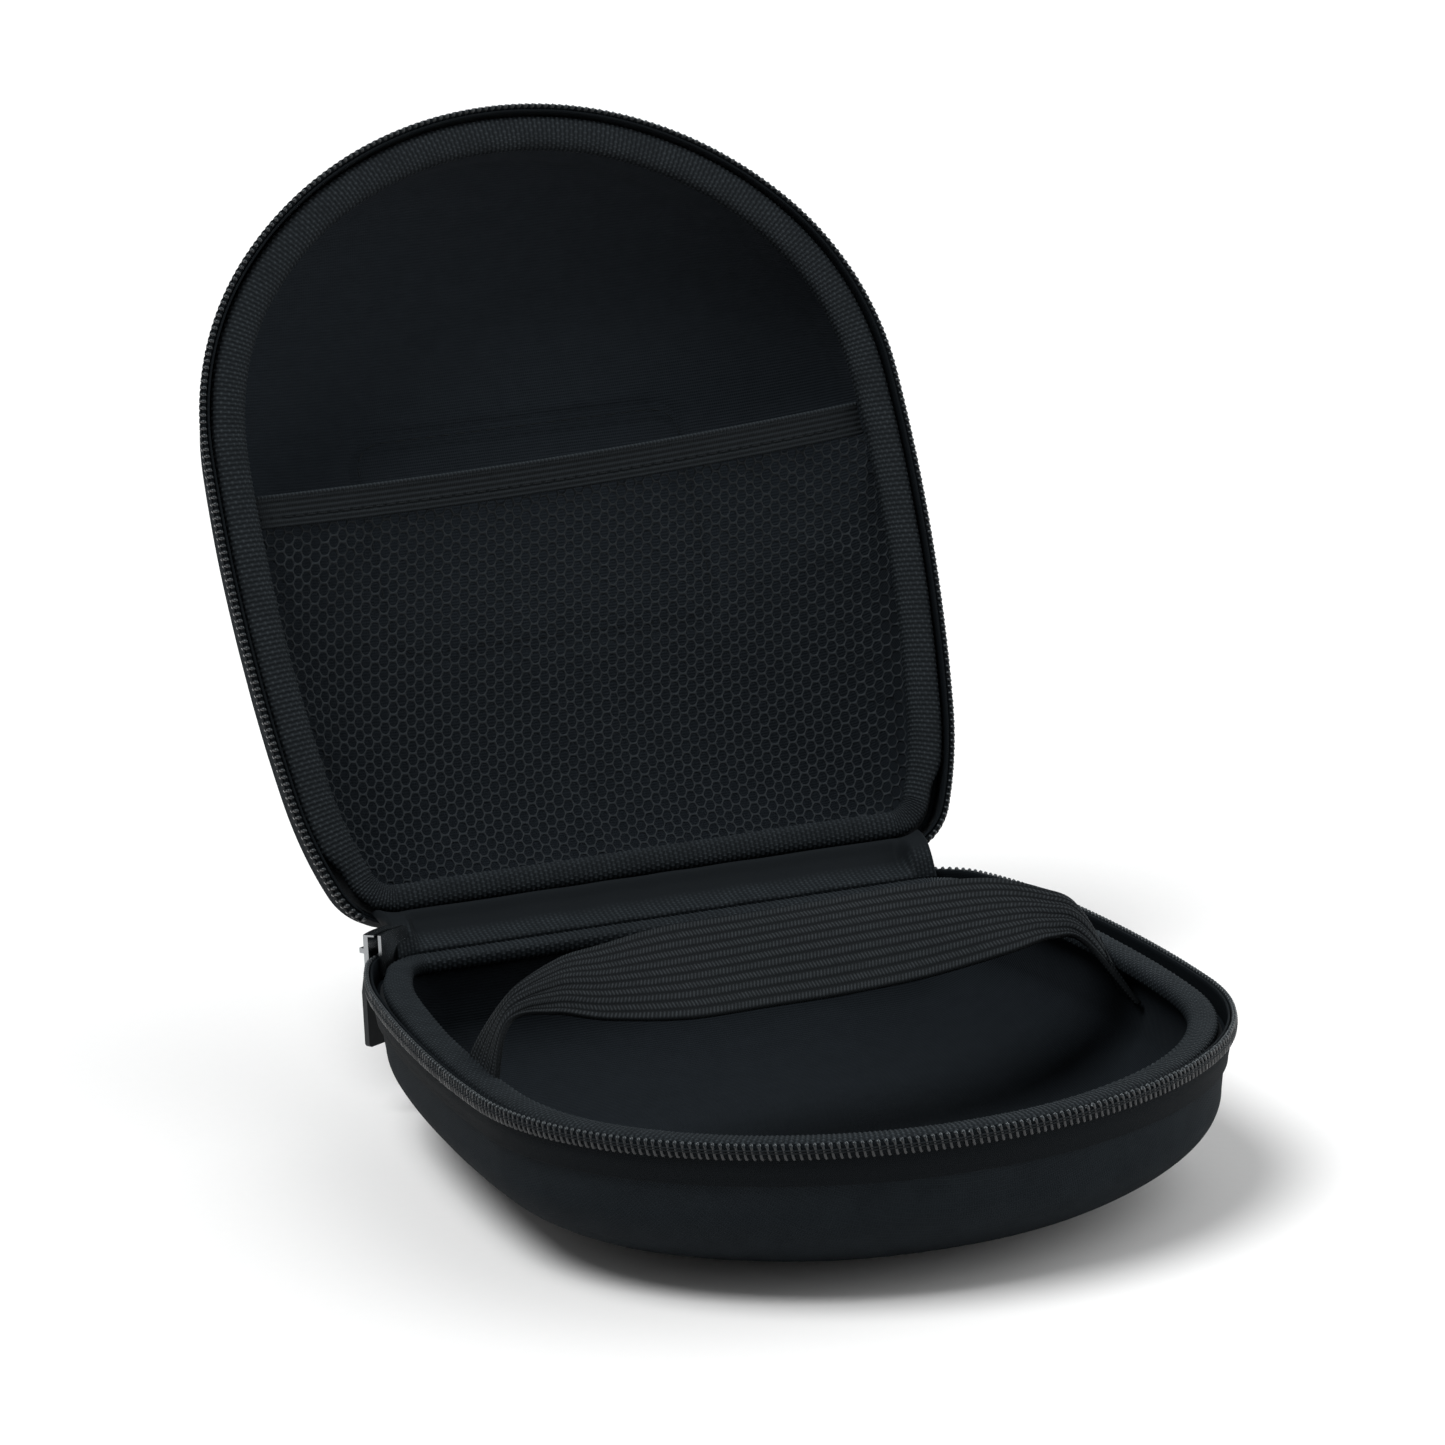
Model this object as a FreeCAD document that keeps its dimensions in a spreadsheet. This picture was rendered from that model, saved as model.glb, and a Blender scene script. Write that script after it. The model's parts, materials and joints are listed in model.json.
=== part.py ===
"""Hard shell headphone carrying case, standing open on its base.

Frame: millimetres, +Z up, origin at the centre of the base's flat underside.
-Y is the front (the opening side), +Y the rear (the hinge side).  The case is
symmetric about X = 0 apart from its single zipper slider.  Both halves share one
plan outline; the lid is the base mirrored in the rim plane and swung open.
"""
import FreeCAD, Part
import math
import os

Vector = FreeCAD.Vector
Rotation = FreeCAD.Rotation
Placement = FreeCAD.Placement

doc = FreeCAD.newDocument("headphone_case")

# ---------------------------------------------------------------- driving sizes
SIZES = {
    # plan outline of the rim, traced by the tips of the zipper coils
    "case_length": 222.0,
    "rear_half_straight": 71.4,
    "corner_radius": 17.4,
    "corner_turn": 67.7,
    "shoulder_radius": 113.8,
    "shoulder_turn": 14.5,
    "side_radius": 542.6,
    "side_turn": 10.2,
    "cheek_radius": 83.4,
    "cheek_turn": 39.3,
    # depth profile of one half
    "half_depth": 45.0,
    "wall_depth": 20.0,
    "wall_draft": 3.0,
    "dome_reach": 55.0,
    # laminated wall, from the outside in
    "cover_thickness": 0.8,
    "shell_thickness": 3.2,
    "lining_thickness": 0.7,
    "layer_gap": 0.15,
    "cover_inset": 1.5,
    "wall_top_drop": 6.6,
    # zipper
    "coil_height": 4.6,
    "coil_outstand": 1.2,
    "coil_thickness": 1.65,
    "coil_drop": 0.25,
    "tape_inset": 0.6,
    "tape_thickness": 0.65,
    "tape_height": 11.2,
    "tape_drop": 0.8,
    "lid_chain_trim": 2.5,
    # rolled inner binding
    "binding_inset": 4.1,
    "binding_width": 7.5,
    "binding_height": 5.2,
    "binding_drop": 1.2,
    "binding_round": 2.2,
    # hinge
    "hinge_setback": 4.3,
    "lid_open_angle": 116.5,
    "hinge_panel_thickness": 0.65,
    "hinge_lining_thickness": 0.5,
    "hinge_end_gap": 0.3,
    "stop_length": 3.0,
    # retaining strap
    "strap_width": 38.0,
    "strap_end_width": 16.0,
    "strap_thickness": 1.5,
    "strap_half_span": 88.6,
    "strap_rise": 16.5,
    "strap_drop": 12.6,
    "strap_gather_share": 0.35,
    "bartack_length": 13.0,
    "bartack_width": 1.6,
    "bartack_height": 0.6,
    "bartack_setback": 2.6,
    # net pocket in the lid
    "pocket_front": -3.5,
    "pocket_inset": 10.6,
    "pocket_drop": 6.9,
    "net_thickness": 0.7,
    "hem_width": 9.0,
    "hem_thickness": 1.5,
    "hem_half_span": 87.0,
    # stitches: the hem's row and the line round the badge
    "stitch_width": 0.5,
    "stitch_height": 0.35,
    "stitch_clearance": 0.05,
    "hem_stitch_pitch": 3.2,
    "hem_stitch_length": 2.0,
    "hem_stitch_inset": 2.6,
    "hem_stitch_end_margin": 4.0,
    "badge_stitch_pitch": 4.4,
    "badge_stitch_length": 2.8,
    "badge_stitch_margin": 1.5,
    # badge on the lid
    "badge_length": 98.0,
    "badge_width": 64.0,
    "badge_corner": 9.0,
    "badge_thickness": 1.5,
    "badge_clearance": 0.3,
    "badge_backing_border": 5.0,
    # zipper slider and puller
    "slider_turn": 29.5,
    "slider_length_angle": 40.0,
    "slider_half_height": 5.6,
    "slider_plate": 1.3,
    "slider_back_plate": 0.9,
    "slider_clearance": 0.25,
    "slider_post_low": 0.1,
    "slider_post_high": 2.4,
    "crown_length": 8.0,
    "crown_bar": 1.3,
    "crown_depth": 1.4,
    "crown_standoff": 2.6,
    "crown_foot": 0.15,
    "link_wire": 1.1,
    "link_inner_radius": 1.1,
    "link_drop": 6.0,
    "puller_length": 27.0,
    "puller_width": 7.5,
    "puller_thickness": 1.6,
    "puller_eye": 4.2,
    "puller_eye_hole": 1.15,
    "puller_head": 2.5,
    "puller_shoulder": 4.0,
}
BEYOND = 400.0  # longer than the whole case, for cutting blocks
FLATNESS = 0.01  # how level an edge must be to count as flat
STRAP_STEPS = 8  # loft sections on each side of the strap's middle


def make_sheet(sizes):
    """Store every driving size in a spreadsheet cell with an alias."""
    sheet = doc.addObject("Spreadsheet::Sheet", "Params")
    for row, (alias, value) in enumerate(sizes.items(), start=1):
        sheet.set(f"A{row}", alias)
        sheet.set(f"B{row}", str(value))
        sheet.setAlias(f"B{row}", alias)
    doc.recompute()
    return sheet


sheet = make_sheet(SIZES)


def size(alias):
    """Read one driving size back from the sheet."""
    return float(sheet.get(alias))


RIM_HEIGHT = size("half_depth")
REAR_Y = size("case_length") / 2
HINGE_POINT = Vector(0, REAR_Y + size("hinge_setback"), RIM_HEIGHT)
X_AXIS = Vector(1, 0, 0)
Z_AXIS = Vector(0, 0, 1)
LID_PLACEMENT = Placement(Vector(), Rotation(-X_AXIS, size("lid_open_angle")), HINGE_POINT)

parts = []


def keep(item, placement=None):
    """Register a sub-part for checking and export."""
    if placement is not None:
        item.Placement = placement
    parts.append(item)
    return item


# ---------------------------------------------------------------- plan outline
def half_outline():
    """Arcs of the +X half, rear to front: (centre, radius, start angle, end angle).

    Angles are headings measured clockwise from +X; each arc starts where the
    last one ends, on the same tangent.  The nose arc is centred on X = 0.
    """
    arcs = []
    heading = 0.0
    point = Vector(size("rear_half_straight"), REAR_Y, 0)
    for name in ("corner", "shoulder", "side", "cheek"):
        radius = size(name + "_radius")
        turn = math.radians(size(name + "_turn"))
        centre = point - outward(heading) * radius
        arcs.append((centre, radius, heading, heading + turn))
        heading += turn
        point = centre + outward(heading) * radius
    nose_radius = point.x / math.sin(heading)
    nose_centre = point - outward(heading) * nose_radius
    arcs.append((nose_centre, nose_radius, heading, math.pi))
    return arcs


def outward(heading):
    """Unit vector pointing out of the outline where it runs along a heading."""
    return Vector(math.sin(heading), math.cos(heading), 0)


HALF_OUTLINE = half_outline()
CORNER, SHOULDER, SIDE, CHEEK, NOSE = HALF_OUTLINE
HALF_WIDTH = SIDE[0].x + SIDE[1]


def arc_edge(centre, radius, first, last, mirrored=False):
    """One outline arc as an edge, on the +X side or mirrored to the -X side."""
    points = []
    for share in (0.0, 0.5, 1.0):
        heading = first + (last - first) * share
        point = centre + outward(heading) * radius
        points.append(Vector(-point.x, point.y, point.z) if mirrored else point)
    if mirrored:
        points.reverse()
    return Part.Arc(*points).toShape()


def side_edges(arcs, inset):
    """Offset edges from the +X side round the nose to the -X side."""
    edges = [arc_edge(c, r - inset, a, b) for c, r, a, b in arcs]
    edges += [arc_edge(c, r - inset, a, b, True) for c, r, a, b in reversed(arcs)]
    return edges


def closed_outline(inset):
    """The whole rim outline moved in by inset, as a closed wire at Z = 0."""
    edges = side_edges(HALF_OUTLINE, inset)
    start = edges[-1].lastVertex(True).Point
    end = edges[0].firstVertex(True).Point
    edges.append(Part.makeLine(start, end))
    return Part.Wire(edges)


def chain_arcs(skip_corner):
    """Outline arcs that the zipper follows, without the rear straight."""
    arcs = list(HALF_OUTLINE)
    if skip_corner:
        centre, radius, first, last = SHOULDER
        trimmed = (centre, radius, first + math.radians(size("lid_chain_trim")), last)
        arcs = [trimmed] + arcs[2:]
    return arcs


def chain_loop(arcs, inset, thickness):
    """Closed wire round an open ribbon that follows the arcs."""
    outer = side_edges(arcs, inset)
    inner = side_edges(arcs, inset + thickness)
    ends = [
        Part.makeLine(outer[-1].lastVertex(True).Point, inner[-1].lastVertex(True).Point),
        Part.makeLine(inner[0].firstVertex(True).Point, outer[0].firstVertex(True).Point),
    ]
    return outer + ends[:1] + list(reversed(inner)) + ends[1:]


# ---------------------------------------------------------------- PartDesign helpers
def new_body(label):
    """A PartDesign body whose label is its node name."""
    body = doc.addObject("PartDesign::Body", label)
    body.Label = label
    return body


def origin_plane(body, role):
    """One of a body's own origin planes."""
    for feature in body.Origin.OriginFeatures:
        if feature.Role == role:
            return feature
    raise ValueError(role)


def new_sketch(body, name, role="XY_Plane", height=None):
    """A sketch on a body's own plane; height is an expression for its offset."""
    sketch = body.newObject("Sketcher::SketchObject", name)
    sketch.AttachmentSupport = (origin_plane(body, role), [""])
    sketch.MapMode = "FlatFace"
    if height is not None:
        sketch.setExpression("AttachmentOffset.Base.z", height)
    return sketch


def add_edges(sketch, edges):
    """Copy planar edges into a sketch and join neighbours end to end."""
    for edge in edges:
        curve = edge.Curve
        if isinstance(curve, Part.Line):
            first, last = (vertex.Point for vertex in edge.Vertexes)
            sketch.addGeometry(Part.LineSegment(first, last), False)
        else:
            arc = Part.ArcOfCircle(curve, edge.FirstParameter, edge.LastParameter)
            sketch.addGeometry(arc, False)


def pad(body, sketch, name, length, reversed_pad=False):
    """Pad a sketch by a length given as an expression."""
    feature = body.newObject("PartDesign::Pad", name)
    feature.Profile = sketch
    feature.setExpression("Length", length)
    feature.Reversed = reversed_pad
    sketch.Visibility = False
    return feature


def fillet_edges(body, base, name, radius, wanted):
    """Round the edges of a feature that pass a test."""
    doc.recompute()
    names = []
    for number, edge in enumerate(base.Shape.Edges, start=1):
        if wanted(edge):
            names.append(f"Edge{number}")
    feature = body.newObject("PartDesign::Fillet", name)
    feature.Base = (base, names)
    feature.setExpression("Radius", radius)
    return feature


# ---------------------------------------------------------------- zipper ribbons and binding
def make_ribbon(label, skip_corner, inset, thickness, low, height):
    """A ribbon of constant thickness standing on the zipper path.

    inset and thickness are aliases; low and height are expressions in the sheet.
    """
    body = new_body(label)
    sketch = new_sketch(body, label + "_plan", height=low)
    add_edges(sketch, chain_loop(chain_arcs(skip_corner), inset, thickness))
    pad(body, sketch, label + "_pad", height)
    return body


def make_base_coil():
    return make_ribbon("base_zipper_coil", False, -size("coil_outstand"), size("coil_thickness"),
                       "Params.half_depth - Params.coil_drop - Params.coil_height",
                       "Params.coil_height")


def make_lid_coil():
    return make_ribbon("lid_zipper_coil", True, -size("coil_outstand"), size("coil_thickness"),
                       "Params.half_depth + Params.coil_drop", "Params.coil_height")


def make_base_tape():
    return make_ribbon("base_zipper_tape", False, size("tape_inset"), size("tape_thickness"),
                       "Params.half_depth - Params.tape_drop - Params.tape_height",
                       "Params.tape_height")


def make_lid_tape():
    return make_ribbon("lid_zipper_tape", True, size("tape_inset"), size("tape_thickness"),
                       "Params.half_depth + Params.tape_drop", "Params.tape_height")


def make_binding(label, low):
    """Rolled fabric binding lying on the wall's top edge, all the way round."""
    body = new_body(label)
    sketch = new_sketch(body, label + "_plan", height=low)
    inset = size("binding_inset")
    for offset in (inset, inset + size("binding_width")):
        add_edges(sketch, closed_outline(offset).Edges)
    block = pad(body, sketch, label + "_pad", "Params.binding_height")

    def lies_flat(edge):
        return edge.BoundBox.ZLength < FLATNESS

    fillet_edges(body, block, label + "_roll", "Params.binding_round", lies_flat)
    return body


# ---------------------------------------------------------------- moulded halves
def wall_profile(offset):
    """Points (inset, depth below the rim) down the outside of one half.

    The wall slopes in with its draft, turns over along a quarter ellipse and
    meets the flat crown.  offset moves the curve inwards along its normal.
    """
    start = size("cover_inset")
    draft = size("wall_draft") - start
    top = size("wall_top_drop")
    wall_depth = size("wall_depth")
    reach = size("dome_reach")
    rise = size("half_depth") - wall_depth
    points = []
    for share in (0.0, 0.5):
        depth = top + (wall_depth - top) * share
        points.append((start + draft * share + offset, depth))
    for degrees in (0, 15, 30, 45, 60, 75, 90):
        angle = math.radians(degrees)
        inset = start + draft + reach * (1 - math.cos(angle))
        depth = wall_depth + rise * math.sin(angle)
        normal = Vector(rise * math.cos(angle), -reach * math.sin(angle), 0).normalize()
        points.append((inset + normal.x * offset, depth + normal.y * offset))
    return points


def dome(offset):
    """Solid dome of the base bounded by the offset wall profile."""
    wires = []
    for inset, depth in wall_profile(offset):
        scale = (HALF_WIDTH - inset) / HALF_WIDTH
        wire = closed_outline(0.0)
        wire.scale(scale)
        wire.translate(Vector(0, 0, RIM_HEIGHT - depth))
        wires.append(wire)
    return Part.makeLoft(wires, True, False)


def dome_layer(outer_offset, thickness):
    """One laminated layer of the base half."""
    inner = dome(outer_offset + thickness)
    return dome(outer_offset).cut(inner)


COVER_OFFSET = 0.0
SHELL_OFFSET = size("cover_thickness") + size("layer_gap")
LINING_OFFSET = SHELL_OFFSET + size("shell_thickness") + size("layer_gap")
INNER_OFFSET = LINING_OFFSET + size("lining_thickness")


def mirrored_to_lid(shape):
    """The closed lid is the base mirrored in the rim plane."""
    return shape.mirror(Vector(0, 0, RIM_HEIGHT), Z_AXIS)


def feature(label, shape):
    """A free-form sub-part."""
    item = doc.addObject("Part::Feature", label)
    item.Label = label
    item.Shape = shape
    return item


def rounded_block(length, width, corner, thickness, base_z):
    """Rounded rectangular block centred on the Z axis."""
    block = Part.makeBox(length, width, thickness, Vector(-length / 2, -width / 2, base_z))
    uprights = [edge for edge in block.Edges if edge.BoundBox.ZLength > thickness / 2]
    return block.makeFillet(corner, uprights)


def make_halves():
    """Cover, shell and lining of both halves; the lid carries the badge recess."""
    crown = 2 * RIM_HEIGHT
    cover = dome_layer(COVER_OFFSET, size("cover_thickness"))
    shell = dome_layer(SHELL_OFFSET, size("shell_thickness"))
    lining = dome_layer(LINING_OFFSET, size("lining_thickness"))
    keep(feature("base_cover", cover))
    keep(feature("base_shell", shell))
    keep(feature("base_lining", lining))
    gap = size("badge_clearance")
    depth = size("badge_thickness") + 2 * size("layer_gap")
    recess = rounded_block(size("badge_length") + 2 * gap, size("badge_width") + 2 * gap,
                           size("badge_corner") + gap, depth + 1, crown - depth)
    border = size("badge_backing_border")
    plateau_height = size("lining_thickness")
    plateau = rounded_block(size("badge_length") + border, size("badge_width") + border,
                            size("badge_corner") + border / 2, plateau_height + size("layer_gap"),
                            crown - INNER_OFFSET - plateau_height)
    keep(feature("lid_cover", mirrored_to_lid(cover).cut(recess)), LID_PLACEMENT)
    keep(feature("lid_shell", mirrored_to_lid(shell).cut(recess)), LID_PLACEMENT)
    keep(feature("lid_lining", mirrored_to_lid(lining).fuse(plateau).removeSplitter()), LID_PLACEMENT)


def solids_group(label, shapes):
    """Several separate solids that share one node."""
    return feature(label, Part.makeCompound(shapes))


# ---------------------------------------------------------------- hinge
def make_hinge_panel():
    """Fabric panel sewn outside the rear wall, flexing along the hinge line."""
    panel = doc.addObject("Part::Box", "hinge_panel")
    panel.Label = "hinge_panel"
    panel.setExpression("Length", "2 * Params.rear_half_straight - 2 * Params.hinge_end_gap")
    panel.setExpression("Width", "Params.hinge_panel_thickness")
    panel.setExpression("Height", "Params.tape_height")
    panel.setExpression("Placement.Base.x", "Params.hinge_end_gap - Params.rear_half_straight")
    panel.setExpression("Placement.Base.y",
                        "Params.case_length / 2 - Params.tape_inset - Params.tape_thickness")
    panel.setExpression("Placement.Base.z",
                        "Params.half_depth - Params.tape_drop - Params.tape_height")
    return panel


def make_hinge_lining():
    """Inner facing of the hinge, between the panel and the binding."""
    facing = doc.addObject("Part::Box", "hinge_lining")
    facing.Label = "hinge_lining"
    facing.setExpression("Length", "2 * Params.rear_half_straight - 2 * Params.hinge_end_gap")
    facing.setExpression("Width", "Params.hinge_lining_thickness")
    facing.setExpression("Height", "Params.wall_top_drop - Params.tape_drop - Params.layer_gap")
    facing.setExpression("Placement.Base.x", "Params.hinge_end_gap - Params.rear_half_straight")
    facing.setExpression("Placement.Base.y",
                         "Params.case_length / 2 - Params.tape_inset - Params.tape_thickness"
                         " - Params.layer_gap - Params.hinge_lining_thickness")
    facing.setExpression("Placement.Base.z",
                         "Params.half_depth - Params.wall_top_drop + Params.layer_gap")
    return facing


def make_stop_body(label, side):
    """Moulded stop clamped round the tape just beyond the end of the coil."""
    body = new_body(label)
    sketch = new_sketch(body, label + "_plan",
                        height="Params.half_depth - Params.coil_drop - Params.coil_height")
    right = size("rear_half_straight") - size("layer_gap")
    left = right - size("stop_length")
    front = REAR_Y - size("tape_inset") + size("layer_gap")
    back = REAR_Y + size("coil_outstand") / 2
    corners = [(left, front), (right, front), (right, back), (left, back)]
    points = [Vector(side * x, y, 0) for x, y in corners]
    add_edges(sketch, Part.makePolygon(points + points[:1]).Edges)
    pad(body, sketch, label + "_pad", "Params.coil_height")
    return body


# ---------------------------------------------------------------- retaining strap
def strap_width_at(share):
    """Strap width from its gathered end (0) to its full width (1)."""
    smooth = share * share * (3 - 2 * share)
    return size("strap_end_width") + (size("strap_width") - size("strap_end_width")) * smooth


def strap_height_at(x):
    """Height of the strap's underside, a shallow arch between the side walls."""
    reach = x / size("strap_half_span")
    return RIM_HEIGHT - size("strap_drop") + size("strap_rise") * (1 - reach * reach)


def make_strap():
    """Wide elastic strap across the base, gathered where it meets the walls."""
    half_span = size("strap_half_span")
    thickness = size("strap_thickness")
    sections = []
    for step in range(-STRAP_STEPS, STRAP_STEPS + 1):
        reach = step / STRAP_STEPS
        x = reach * half_span
        share = min(1.0, (1 - abs(reach)) / size("strap_gather_share"))
        half_width = strap_width_at(share) / 2
        low = strap_height_at(x)
        corners = [Vector(x, -half_width, low), Vector(x, half_width, low),
                   Vector(x, half_width, low + thickness), Vector(x, -half_width, low + thickness)]
        sections.append(Part.makePolygon(corners + corners[:1]))
    return feature("elastic_strap", Part.makeLoft(sections, True, True))


def make_bartacks():
    """Dense stitch bars that tack the two strap ends down."""
    tacks = []
    length = size("bartack_length")
    width = size("bartack_width")
    for side in (-1, 1):
        x = side * (size("strap_half_span") - size("bartack_setback"))
        strap_top = strap_height_at(abs(x) - width / 2) + size("strap_thickness")
        corner = Vector(x - width / 2, -length / 2, strap_top + size("stitch_clearance"))
        tacks.append(Part.makeBox(width, length, size("bartack_height"), corner))
    return solids_group("strap_bartacks", tacks)


# ---------------------------------------------------------------- net pocket
HEM_BASE = RIM_HEIGHT + size("pocket_drop")


def make_net():
    """Net panel of the pocket, caught under the binding round the hinge end of the lid."""
    plate = Part.Face(closed_outline(size("pocket_inset"))).extrude(Z_AXIS * size("net_thickness"))
    plate.translate(Vector(0, 0, HEM_BASE))
    front_corner = Vector(-BEYOND / 2, size("pocket_front") - BEYOND, 0)
    front = Part.makeBox(BEYOND, BEYOND, BEYOND, front_corner)
    return feature("mesh_pocket", plate.cut(front))


def make_hem():
    """Elastic hem along the pocket's mouth."""
    hem = doc.addObject("Part::Box", "pocket_hem")
    hem.Label = "pocket_hem"
    hem.setExpression("Length", "2 * Params.hem_half_span")
    hem.setExpression("Width", "Params.hem_width")
    hem.setExpression("Height", "Params.hem_thickness")
    return hem


HEM_CORNER = Vector(-size("hem_half_span"), size("pocket_front") - size("layer_gap") - size("hem_width"),
                    HEM_BASE)


def stitch(centre, direction, normal, length):
    """One stitch: a short bar lying along a direction, raised along a normal."""
    width = size("stitch_width")
    bar = Part.makeBox(length, width, size("stitch_height"), Vector(-length / 2, -width / 2, 0))
    across = normal.cross(direction)
    turn = FreeCAD.Matrix(direction.x, across.x, normal.x, centre.x,
                          direction.y, across.y, normal.y, centre.y,
                          direction.z, across.z, normal.z, centre.z)
    bar.transformShape(turn)
    return bar


def make_hem_stitches():
    """Row of stitches along the hem, on the side that faces the headphones."""
    pitch = size("hem_stitch_pitch")
    count = int(2 * (size("hem_half_span") - size("hem_stitch_end_margin")) / pitch)
    row_y = HEM_CORNER.y + size("hem_width") - size("hem_stitch_inset")
    row_z = HEM_BASE - size("stitch_clearance")
    bars = []
    for number in range(count):
        x = (number - (count - 1) / 2) * pitch
        bars.append(stitch(Vector(x, row_y, row_z), X_AXIS, -Z_AXIS, size("hem_stitch_length")))
    return solids_group("hem_stitches", bars)


# ---------------------------------------------------------------- badge
def make_badge():
    """Blank patch let into the crown of the lid."""
    body = new_body("lid_badge")
    sketch = new_sketch(body, "badge_plan",
                        height="2 * Params.half_depth - Params.badge_thickness - Params.layer_gap")
    half_length = size("badge_length") / 2
    half_width = size("badge_width") / 2
    corners = [Vector(-half_length, -half_width, 0), Vector(half_length, -half_width, 0),
               Vector(half_length, half_width, 0), Vector(-half_length, half_width, 0)]
    add_edges(sketch, Part.makePolygon(corners + corners[:1]).Edges)
    plate = pad(body, sketch, "badge_pad", "Params.badge_thickness")
    rounded = fillet_edges(body, plate, "badge_corners", "Params.badge_corner",
                           lambda edge: edge.BoundBox.ZLength > size("badge_thickness") / 2)
    top_z = 2 * RIM_HEIGHT - size("layer_gap")
    fillet_edges(body, rounded, "badge_edge", "Params.badge_thickness / 3",
                 lambda edge: edge.BoundBox.ZMin > top_z - FLATNESS)
    return body


def make_badge_stitches():
    """Stitch line inside the lid, round the back of the badge."""
    margin = size("badge_stitch_margin")
    outline = rounded_block(size("badge_length") - 2 * margin, size("badge_width") - 2 * margin,
                            size("badge_corner") - margin, 1, 0)
    rim = [face for face in outline.Faces if face.BoundBox.ZMax < FLATNESS][0].OuterWire
    count = int(rim.Length / size("badge_stitch_pitch"))
    quarters = rim.discretize(4 * count + 1)
    level = 2 * RIM_HEIGHT - INNER_OFFSET - size("lining_thickness") - size("stitch_clearance")
    bars = []
    for number in range(count):
        before, middle, after = quarters[4 * number:4 * number + 3]
        direction = (after - before).normalize()
        centre = Vector(middle.x, middle.y, level)
        bars.append(stitch(centre, direction, -Z_AXIS, size("badge_stitch_length")))
    return solids_group("badge_stitches", bars)


# ---------------------------------------------------------------- slider and puller
SLIDER_RADIUS = size("corner_radius")
COIL_OUTER = SLIDER_RADIUS + size("coil_outstand")
TAPE_OUTER = SLIDER_RADIUS - size("tape_inset")
TAPE_INNER = TAPE_OUTER - size("tape_thickness")
PLATE_IN = COIL_OUTER + size("slider_clearance")
PLATE_OUT = PLATE_IN + size("slider_plate")
BACK_OUT = TAPE_INNER - size("slider_clearance")
BACK_IN = BACK_OUT - size("slider_back_plate")
FLANGE_Z = size("coil_drop") + size("coil_height") + size("slider_clearance")
CORNER_CENTRE = Vector(-CORNER[0].x, CORNER[0].y, RIM_HEIGHT)
SLIDER_PLACEMENT = Placement(CORNER_CENTRE, Rotation(Z_AXIS, 90 + size("slider_turn")))
BAR_RADIUS = PLATE_OUT + size("crown_standoff")
TAB_PIVOT = -(size("link_drop") + size("link_inner_radius") + size("link_wire") / 2)


def revolve(body, label, corners, angle):
    """Turn a section of (radius, height) corners about the corner's upright axis."""
    sketch = new_sketch(body, label + "_section", role="XZ_Plane")
    points = [Vector(radius, height, 0) for radius, height in corners]
    add_edges(sketch, Part.makePolygon(points + points[:1]).Edges)
    turned = body.newObject("PartDesign::Revolution", label)
    turned.Profile = sketch
    turned.ReferenceAxis = (sketch, ["V_Axis"])
    turned.setExpression("Angle", angle)
    turned.Midplane = True
    sketch.Visibility = False
    doc.recompute()
    return turned


def make_slider():
    """Two curved plates astride the tape, joined by the post that parts the coils."""
    body = new_body("slider_body")
    half = size("slider_half_height")
    lip = TAPE_OUTER + size("slider_clearance")
    front = [(PLATE_OUT, -half), (PLATE_OUT, half), (lip, half), (lip, FLANGE_Z),
             (PLATE_IN, FLANGE_Z), (PLATE_IN, -FLANGE_Z), (lip, -FLANGE_Z), (lip, -half)]
    revolve(body, "front_plate", front, "Params.slider_length_angle")
    post_low = size("slider_post_low")
    post_high = size("slider_post_high")
    post = [(BACK_IN, post_low), (PLATE_OUT, post_low), (PLATE_OUT, post_high), (BACK_IN, post_high)]
    revolve(body, "parting_post", post, "Params.slider_length_angle / 4")
    back = [(BACK_IN, -half), (BACK_OUT, -half), (BACK_OUT, half), (BACK_IN, half)]
    revolve(body, "back_plate", back, "Params.slider_length_angle")
    return body


def make_crown():
    """Staple-shaped bail on the slider's outer plate, holding the puller link."""
    body = new_body("slider_crown")
    bar = size("crown_bar")
    half_length = size("crown_length") / 2
    leg_start = PLATE_OUT - size("crown_foot")
    outer = BAR_RADIUS + bar / 2
    inner = BAR_RADIUS - bar / 2
    corners = [(leg_start, -half_length), (outer, -half_length), (outer, half_length),
               (leg_start, half_length), (leg_start, half_length - bar), (inner, half_length - bar),
               (inner, bar - half_length), (leg_start, bar - half_length)]
    sketch = new_sketch(body, "crown_section")
    points = [Vector(x, y, 0) for x, y in corners]
    add_edges(sketch, Part.makePolygon(points + points[:1]).Edges)
    bail = pad(body, sketch, "crown_pad", "Params.crown_depth")
    bail.Midplane = True
    fillet_edges(body, bail, "crown_round", "Params.crown_bar / 5",
                 lambda edge: edge.BoundBox.XMin > outer - FLATNESS)
    return body


def stadium(radius, low, high):
    """Upright round-ended outline in the X-Z plane, centred on the crown bar."""
    left = Vector(BAR_RADIUS - radius, 0, 0)
    right = Vector(BAR_RADIUS + radius, 0, 0)
    up = Z_AXIS * high
    down = Z_AXIS * low
    top = Part.Arc(left + up, Vector(BAR_RADIUS, 0, high + radius), right + up).toShape()
    bottom = Part.Arc(right + down, Vector(BAR_RADIUS, 0, low - radius), left + down).toShape()
    sides = [Part.makeLine(right + up, right + down), Part.makeLine(left + down, left + up)]
    return Part.Wire([top, sides[0], bottom, sides[1]])


def make_link():
    """Wire link hanging from the crown bar."""
    wire = size("link_wire")
    inner_radius = size("link_inner_radius")
    outer = Part.Face(stadium(inner_radius + wire, -size("link_drop"), 0))
    inner = Part.Face(stadium(inner_radius, -size("link_drop"), 0))
    ring = outer.cut(inner)
    ring.translate(Vector(0, -wire / 2, 0))
    return feature("puller_link", ring.extrude(Vector(0, wire, 0)))


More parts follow.
